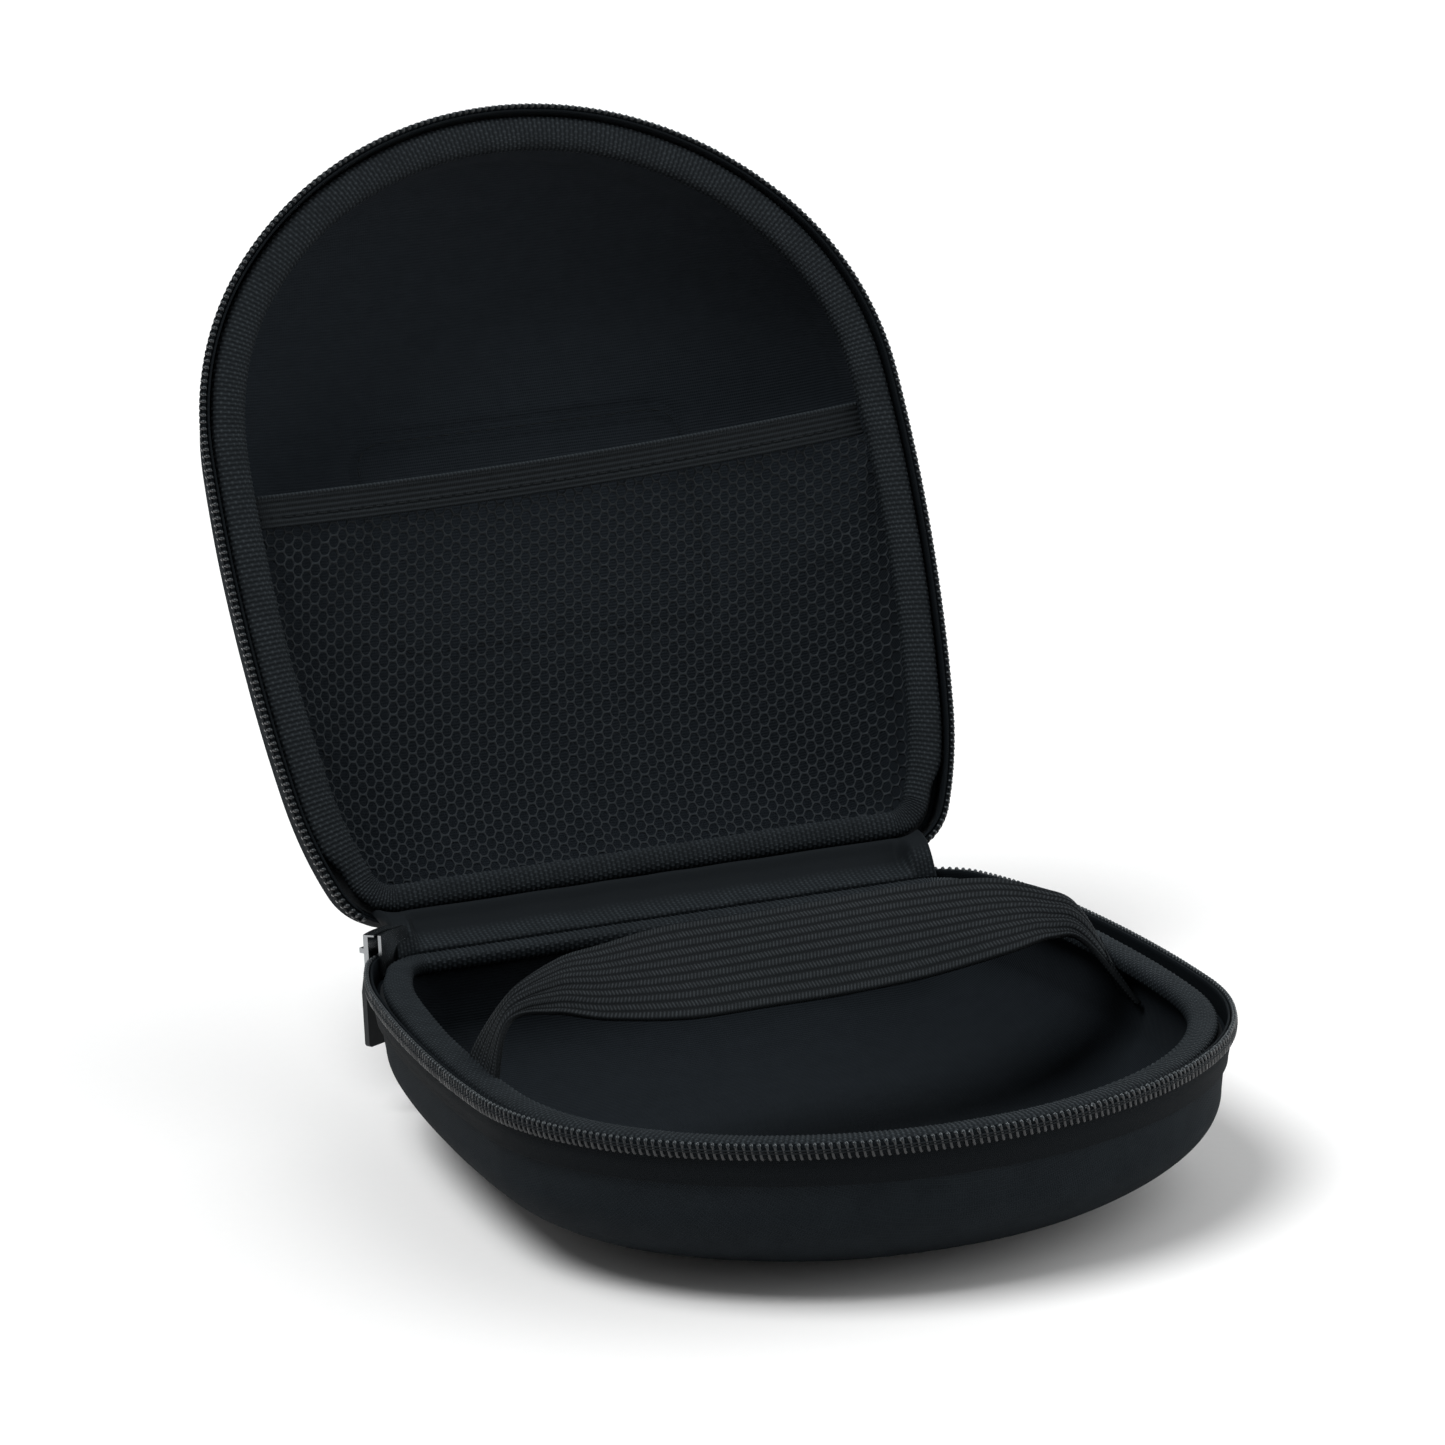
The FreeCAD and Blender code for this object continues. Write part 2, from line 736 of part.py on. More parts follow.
def make_tab():
    """Flat pull tab hanging from the link, with an eye at its top."""
    body = new_body("puller_tab")
    sketch = new_sketch(body, "tab_outline", role="YZ_Plane",
                        height=f"{BAR_RADIUS} - Params.puller_thickness / 2")
    eye_half = size("puller_eye") / 2
    half_width = size("puller_width") / 2
    top = TAB_PIVOT + size("puller_head")
    shoulder = TAB_PIVOT - size("puller_shoulder")
    end = -size("puller_length")
    corners = [(-eye_half, top), (eye_half, top), (half_width, shoulder), (half_width, end),
               (-half_width, end), (-half_width, shoulder)]
    points = [Vector(y, z, 0) for y, z in corners]
    add_edges(sketch, Part.makePolygon(points + points[:1]).Edges)
    plate = pad(body, sketch, "tab_pad", "Params.puller_thickness")
    rounded = fillet_edges(body, plate, "tab_corners", "Params.puller_eye / 4",
                           lambda edge: edge.BoundBox.XLength > size("puller_thickness") / 2)
    doc.recompute()
    hole_sketch = new_sketch(body, "eye_hole", role="YZ_Plane",
                             height=f"{BAR_RADIUS} + Params.puller_thickness")
    hole = Part.Circle(Vector(0, TAB_PIVOT, 0), Z_AXIS, size("puller_eye_hole"))
    hole_sketch.addGeometry(hole, False)
    before = rounded.Shape.Volume
    pocket = body.newObject("PartDesign::Pocket", "eye_pocket")
    pocket.Profile = hole_sketch
    pocket.Type = "Length"
    pocket.setExpression("Length", "2 * Params.puller_thickness")
    hole_sketch.Visibility = False
    doc.recompute()
    if not pocket.Shape.Volume < before - 1:
        raise RuntimeError("the puller's eye was not cut")
    return body


def make_slider_group():
    """Slider, crown, link and tab, all built about the corner's upright axis."""
    keep(make_slider(), SLIDER_PLACEMENT)
    keep(make_crown(), SLIDER_PLACEMENT)
    keep(make_link(), SLIDER_PLACEMENT)
    keep(make_tab(), SLIDER_PLACEMENT)


def make_base():
    """Sub-parts that stay with the base."""
    keep(make_base_coil())
    keep(make_base_tape())
    keep(make_binding("base_binding",
                      "Params.half_depth - Params.binding_drop - Params.binding_height"))
    keep(make_hinge_panel())
    keep(make_hinge_lining())
    keep(make_stop_body("left_end_stop", -1))
    keep(make_stop_body("right_end_stop", 1))
    keep(make_strap())
    keep(make_bartacks())


def make_lid():
    """Sub-parts that swing with the lid."""
    keep(make_lid_coil(), LID_PLACEMENT)
    keep(make_lid_tape(), LID_PLACEMENT)
    keep(make_binding("lid_binding", "Params.half_depth + Params.binding_drop"), LID_PLACEMENT)
    keep(make_net(), LID_PLACEMENT)
    keep(make_hem(), LID_PLACEMENT.multiply(Placement(HEM_CORNER, Rotation())))
    keep(make_hem_stitches(), LID_PLACEMENT)
    keep(make_badge(), LID_PLACEMENT)
    keep(make_badge_stitches(), LID_PLACEMENT)


def finish():
    """Recompute, check every object and write one STEP file per sub-part."""
    doc.recompute()
    for item in doc.Objects:
        if "Invalid" in item.State or "Error" in item.State:
            raise RuntimeError(f"{item.Name} failed: {item.State}")
    os.makedirs("parts", exist_ok=True)
    for item in parts:
        shape = item.Shape
        if shape.isNull() or not shape.isValid() or shape.Volume <= 0:
            raise RuntimeError(f"{item.Label} has no valid solid")
        shape.exportStep(f"parts/{item.Label}.step")
        box = shape.BoundBox
        print(f"{item.Label:24s} solids {len(shape.Solids):3d} volume {shape.Volume:10.1f}"
              f"  X {box.XMin:7.1f} {box.XMax:7.1f}  Y {box.YMin:7.1f} {box.YMax:7.1f}"
              f"  Z {box.ZMin:7.1f} {box.ZMax:7.1f}")


make_halves()
make_base()
make_lid()
make_slider_group()
finish()
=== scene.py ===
"""Looks of the headphone carrying case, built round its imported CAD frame.

Metres, +Z up, origin at the centre of the base's flat underside, -Y the front.
Pieces of either half are made as if for the base, by their place along the rim,
their inset from the rim outline and their depth below the rim plane.  Pieces of
the lid are then mirrored over to the open lid.
"""
import json
from math import cos, pi, radians, sin, sqrt

import bpy
import numpy as np
from mathutils import Matrix, Vector, noise


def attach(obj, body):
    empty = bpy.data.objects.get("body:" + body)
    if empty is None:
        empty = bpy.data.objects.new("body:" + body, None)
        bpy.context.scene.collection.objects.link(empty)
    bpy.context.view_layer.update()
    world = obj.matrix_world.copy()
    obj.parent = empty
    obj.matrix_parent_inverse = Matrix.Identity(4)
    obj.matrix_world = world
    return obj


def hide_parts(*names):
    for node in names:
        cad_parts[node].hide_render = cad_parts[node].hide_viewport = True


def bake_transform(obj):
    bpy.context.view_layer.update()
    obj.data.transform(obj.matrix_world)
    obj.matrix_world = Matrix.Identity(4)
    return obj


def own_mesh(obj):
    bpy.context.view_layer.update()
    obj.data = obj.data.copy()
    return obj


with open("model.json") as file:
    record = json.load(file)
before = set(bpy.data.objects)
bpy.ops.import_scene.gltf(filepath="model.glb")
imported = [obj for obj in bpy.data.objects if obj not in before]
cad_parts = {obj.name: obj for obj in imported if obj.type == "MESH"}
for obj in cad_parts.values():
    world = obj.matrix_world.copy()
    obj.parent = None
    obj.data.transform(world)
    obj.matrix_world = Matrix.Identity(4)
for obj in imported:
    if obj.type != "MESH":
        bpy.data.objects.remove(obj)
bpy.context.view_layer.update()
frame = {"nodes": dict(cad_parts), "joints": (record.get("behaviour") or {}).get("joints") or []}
MM = 0.001

# ------------------------ places taken from the frame
JOINTS = {entry["name"]: entry for entry in frame["joints"]}
HINGE = np.array(JOINTS["lid_hinge"]["pos_m"])
OPEN_ANGLE = radians(-JOINTS["lid_hinge"]["range_deg"][0])
CORNER = np.array(JOINTS["slider_travel"]["pos_m"])
RIM_Z = HINGE[2]


# ------------------------ small sums
def unit(vectors):
    """Vectors scaled to length 1."""
    return vectors / np.linalg.norm(vectors, axis=-1, keepdims=True)


def smooth(t):
    """Smooth step of values clipped to 0..1."""
    t = np.clip(t, 0.0, 1.0)
    return t * t * (3 - 2 * t)


def bell(distance, width):
    """1 at no distance, falling off smoothly over about the width."""
    return np.exp(-((distance / width) ** 2))


def lengths_along(path):
    """Running length at each point of a path."""
    return np.concatenate([[0.0], np.cumsum(np.linalg.norm(np.diff(path, axis=0), axis=1))])


def lattice(first, second):
    """Grid of pairs, one value from each list."""
    return np.stack(np.meshgrid(first, second, indexing="ij"), axis=-1)


def soft_noise(points, size, seed):
    """Smooth noise between about -1 and 1 at each point, for cloth that isn't perfectly even."""
    offset = Vector((seed * 7.31, seed * 3.17, seed * 5.77))
    values = [noise.noise(Vector(point) / size + offset) for point in points.reshape(-1, 3)]
    return np.array(values).reshape(points.shape[:-1])


# ------------------------ rim outline
CORNER_RADIUS = 17.4 * MM
CORNER_TURN = radians(67.7)
FLANK_ARCS = (  # radius and turn of the shoulder, the side and the cheek
    (113.8 * MM, radians(14.5)),
    (542.6 * MM, radians(10.2)),
    (83.4 * MM, radians(39.3)),
)
TRACE_STEP = 0.05 * MM


def outward(heading):
    """Unit vectors out of the outline; headings run clockwise from +Y."""
    return np.stack([np.sin(heading), np.cos(heading)], axis=-1)


def outline_arcs():
    """(centre, radius, first heading, last heading) clockwise from the rear edge's right end."""
    point = np.array([-CORNER[0], CORNER[1] + CORNER_RADIUS])
    heading = 0.0
    arcs = []
    for radius, turn in ((CORNER_RADIUS, CORNER_TURN),) + FLANK_ARCS:
        centre = point - outward(heading) * radius
        arcs.append((centre, radius, heading, heading + turn))
        heading += turn
        point = centre + outward(heading) * radius
    nose_radius = point[0] / sin(heading)
    nose = (point - outward(heading) * nose_radius, nose_radius, heading, 2 * pi - heading)
    mirrored = []
    for centre, radius, first, last in reversed(arcs):
        mirrored.append((centre * (-1, 1), radius, 2 * pi - last, 2 * pi - first))
    return arcs + [nose] + mirrored


def trace_outline():
    """Arc length, point and outward normal in fine steps all round the rim."""
    points = []
    normals = []
    for centre, radius, first, last in outline_arcs():
        count = int(radius * (last - first) / TRACE_STEP)
        normal = outward(np.linspace(first, last, count, endpoint=False))
        points.append(centre + radius * normal)
        normals.append(normal)
    rear = np.linspace(CORNER[0], -CORNER[0], int(-2 * CORNER[0] / TRACE_STEP) + 1)
    points.append(np.stack([rear, np.full_like(rear, CORNER[1] + CORNER_RADIUS)], axis=-1))
    normals.append(np.tile((0.0, 1.0), (len(rear), 1)))
    points = np.concatenate(points)
    return lengths_along(points), points, np.concatenate(normals)


TRACE_S, TRACE_POINT, TRACE_NORMAL = trace_outline()
RIM_LENGTH = TRACE_S[-1]
REAR_START = RIM_LENGTH + 2 * CORNER[0]  # where the rear straight begins, at its left end
REAR_MIDDLE = RIM_LENGTH + CORNER[0]
HALF_WIDTH = TRACE_POINT[:, 0].max()


def rim(s):
    """Points and outward normals of the rim outline at arc lengths s."""
    s = np.mod(s, RIM_LENGTH)
    found = []
    for trace in (TRACE_POINT, TRACE_NORMAL):
        found.append(np.stack([np.interp(s, TRACE_S, trace[:, axis]) for axis in (0, 1)], axis=-1))
    return found[0], unit(found[1])


def rim_points(s, inset, depth):
    """Base half points at arc length s, moved in by inset and down by depth."""
    s, inset, depth = np.broadcast_arrays(s, inset, depth)
    point, normal = rim(s)
    return np.concatenate([point - normal * inset[..., None], (RIM_Z - depth)[..., None]], axis=-1)


def swing(points):
    """Mirror base half points over to the open lid, or the open lid's points back to the base."""
    forward = points[..., 1] - HINGE[1]
    up = points[..., 2] - HINGE[2]
    c, s = cos(OPEN_ANGLE), sin(OPEN_ANGLE)
    swung = np.array(points, float)
    swung[..., 1] = HINGE[1] + forward * c - up * s
    swung[..., 2] = HINGE[2] - forward * s - up * c
    return swung


# ------------------------ mesh building
TUBE_SIDES = 6


class Sheet:
    """Vertices, faces and UV places of one mesh, gathered part by part."""

    def __init__(self, half="base"):
        self.half = half
        self.points = []
        self.uvs = []
        self.faces = []
        self.count = 0
        self.uv_count = 0

    def add_points(self, points, uv):
        """Store vertices and UV places, and give their numbers in the same layout."""
        numbers = np.arange(points[..., 0].size).reshape(points.shape[:-1]) + self.count
        uv_numbers = np.arange(uv[..., 0].size).reshape(uv.shape[:-1]) + self.uv_count
        self.count += numbers.size
        self.uv_count += uv_numbers.size
        self.points.append(points.reshape(-1, 3))
        self.uvs.append(uv.reshape(-1, 2))
        return numbers, uv_numbers

    def add_faces(self, corners, uv_corners, flip=False):
        """Store faces as rows of vertex numbers and UV numbers."""
        order = -1 if flip != (self.half == "lid") else 1
        self.faces.append((corners[:, ::order], uv_corners[:, ::order]))

    def grid(self, points, uv, wrap_rows=False, wrap_columns=False, flip=False):
        """Add a grid of quads.  uv has one more row or column where the grid wraps."""
        numbers, uv_numbers = self.add_points(points, uv)
        if wrap_rows:
            numbers = np.concatenate([numbers, numbers[:1]], axis=0)
        if wrap_columns:
            numbers = np.concatenate([numbers, numbers[:, :1]], axis=1)
        quads = []
        for n in (numbers, uv_numbers):
            quads.append(np.stack([n[:-1, :-1], n[1:, :-1], n[1:, 1:], n[:-1, 1:]], axis=-1).reshape(-1, 4))
        self.add_faces(*quads, flip)
        return numbers, uv_numbers

    def fan(self, ring, uv_ring, centre, flip=False):
        """Close a ring of vertex numbers with triangles to a centre point."""
        tips = self.add_points(np.array([centre], float), np.zeros((1, 2)))
        triangles = []
        for around, tip in zip((ring, uv_ring), tips):
            triangles.append(np.stack([around[:-1], around[1:], np.full(len(around) - 1, tip)], axis=-1))
        self.add_faces(*triangles, flip)

    def sleeve(self, points, uv):
        """Add a grid that wraps by columns, closed at its first and last row."""
        numbers, uv_numbers = self.grid(points, uv, wrap_columns=True)
        for row, flip in ((0, False), (-1, True)):
            self.fan(numbers[row], uv_numbers[row], points[row].mean(axis=0), flip)

    def tube(self, path, radius):
        """Add a round tube along a path; radius may vary along it."""
        tangent = unit(np.gradient(path, axis=0))
        side = np.empty_like(tangent)
        steep = abs(tangent[0, 2]) > 0.9
        carried = np.cross(tangent[0], (1.0, 0.0, 0.0) if steep else (0.0, 0.0, 1.0))
        for number, ahead in enumerate(tangent):  # carry one side along, so the tube doesn't twist
            carried = unit(carried - ahead * (carried @ ahead))
            side[number] = carried
        up = np.cross(side, tangent)
        angle = np.linspace(0, 2 * pi, TUBE_SIDES + 1)
        radius = np.broadcast_to(radius, len(path))
        c, s = np.cos(angle[:-1, None]), np.sin(angle[:-1, None])
        ring = (side[:, None] * c + up[:, None] * s) * radius[:, None, None]
        self.sleeve(path[:, None] + ring, lattice(lengths_along(path), angle * radius.mean()))

    def build(self, name, material, shade_smooth=True):
        """Make the Blender object."""
        points = np.concatenate(self.points)
        if self.half == "lid":
            points = swing(points)
        starts = []
        start = 0
        for corners, _ in self.faces:
            starts.append(start + corners.shape[1] * np.arange(len(corners)))
            start += corners.size
        starts = np.concatenate(starts)
        corners, uv_corners = (np.concatenate([group[k].ravel() for group in self.faces]) for k in (0, 1))
        mesh = bpy.data.meshes.new(name)
        mesh.vertices.add(len(points))
        mesh.vertices.foreach_set("co", points.astype(np.float32).ravel())
        mesh.loops.add(len(corners))
        mesh.loops.foreach_set("vertex_index", corners.astype(np.int32))
        mesh.polygons.add(len(starts))
        mesh.polygons.foreach_set("loop_start", starts.astype(np.int32))
        layer_uv = np.concatenate(self.uvs)[uv_corners]
        mesh.uv_layers.new(name="UVMap").data.foreach_set("uv", layer_uv.astype(np.float32).ravel())
        mesh.update(calc_edges=True)
        mesh.polygons.foreach_set("use_smooth", np.full(len(starts), shade_smooth))
        mesh.materials.append(material)
        piece = bpy.data.objects.new(name, mesh)
        bpy.context.scene.collection.objects.link(piece)
        return piece

    def place(self, name, material, slot, node=None, over_hinge=False):
        """Make the piece, in place of its CAD node, riding on its half, or left where it stands over the
        hinge.
        """
        piece = self.build(name, material)
        if node:
            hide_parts(node)
        if over_hinge:
            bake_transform(piece)
        else:
            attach(piece, self.half)
        return piece


# ------------------------ materials
class Nodes:
    """Short calls for building the node tree of a material or of the world."""

    def __init__(self, owner):
        owner.use_nodes = True
        self.owner = owner
        self.tree = owner.node_tree

    def feed(self, node, inputs):
        """Connect or set a node's inputs, which go by name or number."""
        for key, value in inputs.items():
            if isinstance(value, bpy.types.NodeSocket):
                self.tree.links.new(value, node.inputs[key])
            else:
                node.inputs[key].default_value = value

    def node(self, kind, inputs=None, **settings):
        """Add a node with its settings and inputs."""
        made = self.tree.nodes.new(kind)
        for key, value in settings.items():
            setattr(made, key, value)
        self.feed(made, inputs or {})
        return made

    def maths(self, operation, *values):
        return self.node("ShaderNodeMath", dict(enumerate(values)), operation=operation).outputs[0]

    def times(self, first, second):
        return self.maths("MULTIPLY", first, second)

    def weighted(self, value, weight, rest):
        """A value times its weight, plus the rest."""
        return self.maths("MULTIPLY_ADD", value, weight, rest)

    def scaled(self, value, low, high):
        """A value of 0 to 1 spread over low to high."""
        return self.weighted(value, high - low, low)

    def wave(self, coordinate, pitch):
        """A cosine of a coordinate, between 0 and 1."""
        return self.weighted(self.maths("COSINE", self.times(coordinate, 2 * pi / pitch)), 0.5, 0.5)

    def crests(self, coordinate, pitch):
        """A wave whose crests are narrower than its hollows."""
        return self.maths("POWER", self.wave(coordinate, pitch), 2.0)

    def coordinates(self, kind):
        """The separate coordinates of one kind."""
        place = self.node("ShaderNodeTexCoord").outputs[kind]
        return self.node("ShaderNodeSeparateXYZ", {0: place}).outputs

    def texture(self, kind, pitch, inputs, **settings):
        """A solid texture that repeats at about the pitch."""
        place = self.node("ShaderNodeTexCoord").outputs["Object"]
        return self.node(kind, {"Vector": place, "Scale": 1.0 / pitch, **inputs}, **settings)

    def noise(self, pitch, detail=3.0, roughness=0.55):
        inputs = {"Detail": detail, "Roughness": roughness}
        return self.texture("ShaderNodeTexNoise", pitch, inputs).outputs["Fac"]

    def cells(self, pitch, feature):
        return self.texture("ShaderNodeTexVoronoi", pitch, {}, feature=feature).outputs["Distance"]

    def colour(self, dark, light, share):
        """Colours mixed by a share of 0 to 1."""
        inputs = {"Factor": share, "A": (*dark, 1.0), "B": (*light, 1.0)}
        return self.node("ShaderNodeMix", inputs, data_type="RGBA").outputs["Result"]

    def finish(self, colour, roughness, height, depth, specular=0.5, **others):
        """Finish a material: colour, roughness, a bump of the given depth, and other shader inputs."""
        bump = self.node("ShaderNodeBump", {"Strength": 1.0, "Distance": depth, "Height": height})
        inputs = {"Base Color": colour, "Roughness": roughness, "Normal": bump.outputs[0]}
        inputs["Specular IOR Level"] = specular
        for key, value in others.items():
            inputs[key.replace("_", " ").title()] = value
        self.feed(self.tree.nodes["Principled BSDF"], inputs)
        return self.owner


def surface(name):
    return Nodes(bpy.data.materials.new(name))


WEAVE_PITCH = 0.72 * MM
RIB_PITCH = 1.38 * MM  # knit ribs of the binding, across its length
KNIT_PITCH = 1.25 * MM  # knit loops along each rib
HEM_RIB_PITCH = 1.5 * MM
BEAD_PITCH = 1.1 * MM  # along the hem's mouth edge
STRAP_RIB_PITCH = 3.455 * MM
# The facing's painted highlights fade out where its knit ends, leaving painted shade toward the lid.
FACING_KNIT_END = 12.5 * MM  # where the facing's knit gives way to plain cloth
FACING_FADE = 3.5 * MM


def cover_material():
    """Tight plain weave of the outer cover: two crossing thread systems and a faint mottle."""
    m = surface("cover_weave")
    u, v, _ = m.coordinates("UV")
    half_row = m.wave(v, 2 * WEAVE_PITCH)
    over = m.times(m.wave(u, WEAVE_PITCH), half_row)
    under = m.times(m.wave(v, WEAVE_PITCH), m.maths("SUBTRACT", 1.0, half_row))
    weave = m.maths("ADD", over, under)
    height = m.weighted(m.noise(0.25 * MM, detail=2.0), 0.35, weave)
    mottle = m.scaled(m.noise(9 * MM, detail=4.0), -0.15, 0.65)
    colour = m.colour((0.0070, 0.0087, 0.0104), (0.0152, 0.0187, 0.0218), m.weighted(weave, 0.35, mottle))
    return m.finish(colour, 0.8, height, 0.10 * MM, specular=0.04)


def lining_material(name, dark, light):
    """Fine knit lining with faint courses running across the case."""
    m = surface(name)
    u, v, _ = m.coordinates("UV")
    knit = m.weighted(m.wave(u, 0.62 * MM), 0.35, m.wave(v, 0.85 * MM))
    height = m.weighted(m.noise(0.3 * MM, detail=2.0), 0.5, knit)
    mottle = m.scaled(m.noise(5 * MM, detail=4.0), 0.0, 0.5)
    colour = m.colour(dark, light, m.weighted(knit, 0.3, mottle))
    return m.finish(colour, 0.88, height, 0.09 * MM, specular=0.06,
                    sheen_weight=0.02, sheen_roughness=0.5, sheen_tint=(0.85, 0.9, 1.0, 1.0))


def binding_material(name="binding_knit", fade=None):
    """Knit binding: raised loops along ribs on a dark ground, painted lighter on the loops and rib crests as
    a painted highlight that is stronger in some places than others.
    """
    m = surface(name)
    u, v, _ = m.coordinates("UV")
    ribs = m.maths("COSINE", m.times(u, pi / RIB_PITCH))
    rows = m.maths("COSINE", m.times(v, 2 * pi / KNIT_PITCH))
    loops = m.maths("POWER", m.weighted(m.times(ribs, rows), 0.5, 0.5), 4.0)
    loops = m.maths("MAXIMUM", loops, m.times(m.crests(u, RIB_PITCH), 0.42))
    if fade is not None:
        loops = m.times(loops, fade(m, v))
    fibre = m.noise(0.22 * MM)
    # Painted highlight: the colour lightens on the loops, by an amount that varies from place to place, over
    # a faint fibre grain.
    share = m.weighted(fibre, 0.12, m.times(loops, m.scaled(m.noise(5 * MM), 0.1, 1.4)))
    colour = m.colour((0.0030, 0.0038, 0.0048), (0.0300, 0.0348, 0.0385), share)
    return m.finish(colour, m.weighted(loops, -0.35, 0.8), m.weighted(fibre, 0.5, loops), 0.12 * MM,
                    specular=0.12)


def toward_base(m, v):
    """1 on the facing's part by the base, fading to 0 toward the lid.  There the knit gives way to plain
    cloth, and the loops' painted highlights fade out with it, leaving the lid's side dark as painted shade.
    """
    fading = m.weighted(v, -1 / FACING_FADE, FACING_KNIT_END / FACING_FADE)
    return m.maths("MAXIMUM", m.maths("MINIMUM", fading, 1.0), 0.0)


def tape_material():
    """Zipper tape: fine herringbone weave."""
    m = surface("tape_weave")
    u, v, _ = m.coordinates("UV")
    slant = m.times(m.scaled(m.wave(v, 2.6 * MM), -1.0, 1.0), 0.35 * MM)
    weave = m.weighted(m.wave(v, 0.5 * MM), 0.4, m.wave(m.maths("ADD", u, slant), 0.55 * MM))
    fibre = m.noise(0.25 * MM)
    share = m.weighted(weave, 0.35, m.scaled(fibre, -0.1, 0.4))
    colour = m.colour((0.0034, 0.0043, 0.0052), (0.0082, 0.0098, 0.0114), share)
    return m.finish(colour, 0.75, m.weighted(fibre, 0.5, weave), 0.07 * MM, specular=0.05)


def coil_material():
    """Satin black nylon monofilament, a little scuffed."""
    m = surface("coil_nylon")
    scuff = m.noise(1.5 * MM, detail=4.0)
    colour = m.colour((0.0034, 0.0042, 0.0050), (0.0090, 0.0106, 0.0122), scuff)
    return m.finish(colour, m.scaled(scuff, 0.26, 0.46), m.noise(0.15 * MM, detail=2.0), 0.02 * MM,
                    specular=0.45, coat_weight=0.12, coat_roughness=0.18)


def thread_material(name, dark, light):
    """Twisted polyester thread."""
    m = surface(name)
    u, v, _ = m.coordinates("UV")
    twist = m.wave(m.weighted(v, 0.8, u), 0.42 * MM)
    share = m.weighted(m.noise(0.15 * MM), 0.5, m.scaled(twist, 0.0, 0.6))
    return m.finish(m.colour(dark, light, share), 0.62, twist, 0.06 * MM, specular=0.12)


def elastic_material():
    """Woven elastic: rows of short bright picks, with painted shade darkening the grooves between its ribs.
    """
    m = surface("elastic_weave")
    u, v, _ = m.coordinates("UV")
    groove = m.crests(v, STRAP_RIB_PITCH)
    lean = m.weighted(m.wave(v, STRAP_RIB_PITCH * 2), 0.5 * MM, u)
    dash = m.times(m.crests(lean, 1.0 * MM), m.maths("SUBTRACT", 1.0, groove))
    uneven = m.weighted(dash, m.scaled(m.noise(1.6 * MM, detail=2.0), 0.0, 1.8), 0.12)
    # Painted shade: the colour darkens in the grooves between the ribs, where the picks stop too.
    colour = m.colour((0.0026, 0.0030, 0.0034), (0.0250, 0.0268, 0.0285), m.weighted(groove, -0.25, uneven))
    return m.finish(colour, 0.75, m.weighted(m.noise(0.3 * MM), 0.4, dash), 0.10 * MM, specular=0.1)


def hem_material():
    """Knitted elastic hem: fine wales across its ribs, painted lighter on the rib crests and darker between
    them as painted light and shade, and a painted highlight on the loops of its beaded mouth edge.
    """
    m = surface("hem_knit")
    u, v, _ = m.coordinates("UV")
    wale = m.wave(u, 0.55 * MM)
    # Painted light and shade: the colour follows the ribs, lighter on their crests and darker between them.
    ground = m.times(m.wave(v, HEM_RIB_PITCH), m.scaled(wale, 0.35, 0.75))
    ground = m.times(ground, m.scaled(m.noise(3 * MM), 0.2, 1.1))
    # Painted highlight on the loops of the beaded mouth edge.
    mouth = m.times(m.maths("LESS_THAN", v, 1.0 * MM), m.scaled(m.crests(u, BEAD_PITCH), 0.35, 1.3))
    colour = m.colour((0.0042, 0.0051, 0.0060), (0.0210, 0.0240, 0.0266), m.maths("MAXIMUM", ground, mouth))
    return m.finish(colour, 0.66, m.weighted(m.noise(0.25 * MM), 0.6, wale), 0.06 * MM, specular=0.12)


def net_material():
    """Knitted nylon net threads."""
    m = surface("net_nylon")
    fibre = m.noise(0.2 * MM)
    share = m.weighted(fibre, 0.6, m.scaled(m.noise(8 * MM), -0.2, 0.3))
    colour = m.colour((0.0078, 0.0092, 0.0106), (0.0210, 0.0240, 0.0268), share)
    return m.finish(colour, 0.6, fibre, 0.05 * MM, specular=0.15)


def foam_material():
    """Moulded EVA foam: fine closed-cell pores."""
    m = surface("eva_foam")
    colour = m.colour((0.010, 0.010, 0.011), (0.022, 0.022, 0.024), m.noise(6 * MM))
    return m.finish(colour, 0.9, m.cells(0.5 * MM, "F1"), 0.1 * MM)


def patch_material():
    """Blank rubbery badge patch: matte, with a leather-like fine pebble."""
    m = surface("badge_rubber")
    scuff = m.noise(4 * MM, detail=5.0)
    colour = m.colour((0.0055, 0.0064, 0.0073), (0.0120, 0.0138, 0.0155), scuff)
    return m.finish(colour, m.scaled(scuff, 0.45, 0.65), m.cells(0.9 * MM, "SMOOTH_F1"), 0.08 * MM,
                    specular=0.25)


def metal_material():
    """Nickel-plated zinc, polished, with hairline scratches, and painted shade darkening its hollows."""
    m = surface("slider_nickel")
    scratches = m.noise(0.5 * MM, detail=6.0, roughness=0.7)
    # Painted shade: the colour darkens where ambient occlusion finds hollows.
    painted_hollow_shade = m.node("ShaderNodeAmbientOcclusion", {"Distance": 1.2 * MM}, samples=6).outputs["AO"]
    share = m.weighted(scratches, 0.25, m.times(painted_hollow_shade, 0.85))
    colour = m.colour((0.06, 0.063, 0.066), (0.34, 0.35, 0.36), share)
    return m.finish(colour, m.scaled(scratches, 0.14, 0.34), scratches, 0.015 * MM, metallic=1.0)


def puller_material():
    """Soft moulded rubber of the pull tab."""
    m = surface("puller_rubber")
    grain = m.noise(0.35 * MM, detail=4.0)
    colour = m.colour((0.0050, 0.0058, 0.0066), (0.0110, 0.0126, 0.0142), m.noise(3 * MM))
    return m.finish(colour, m.scaled(grain, 0.5, 0.7), grain, 0.04 * MM)


COVER = cover_material()
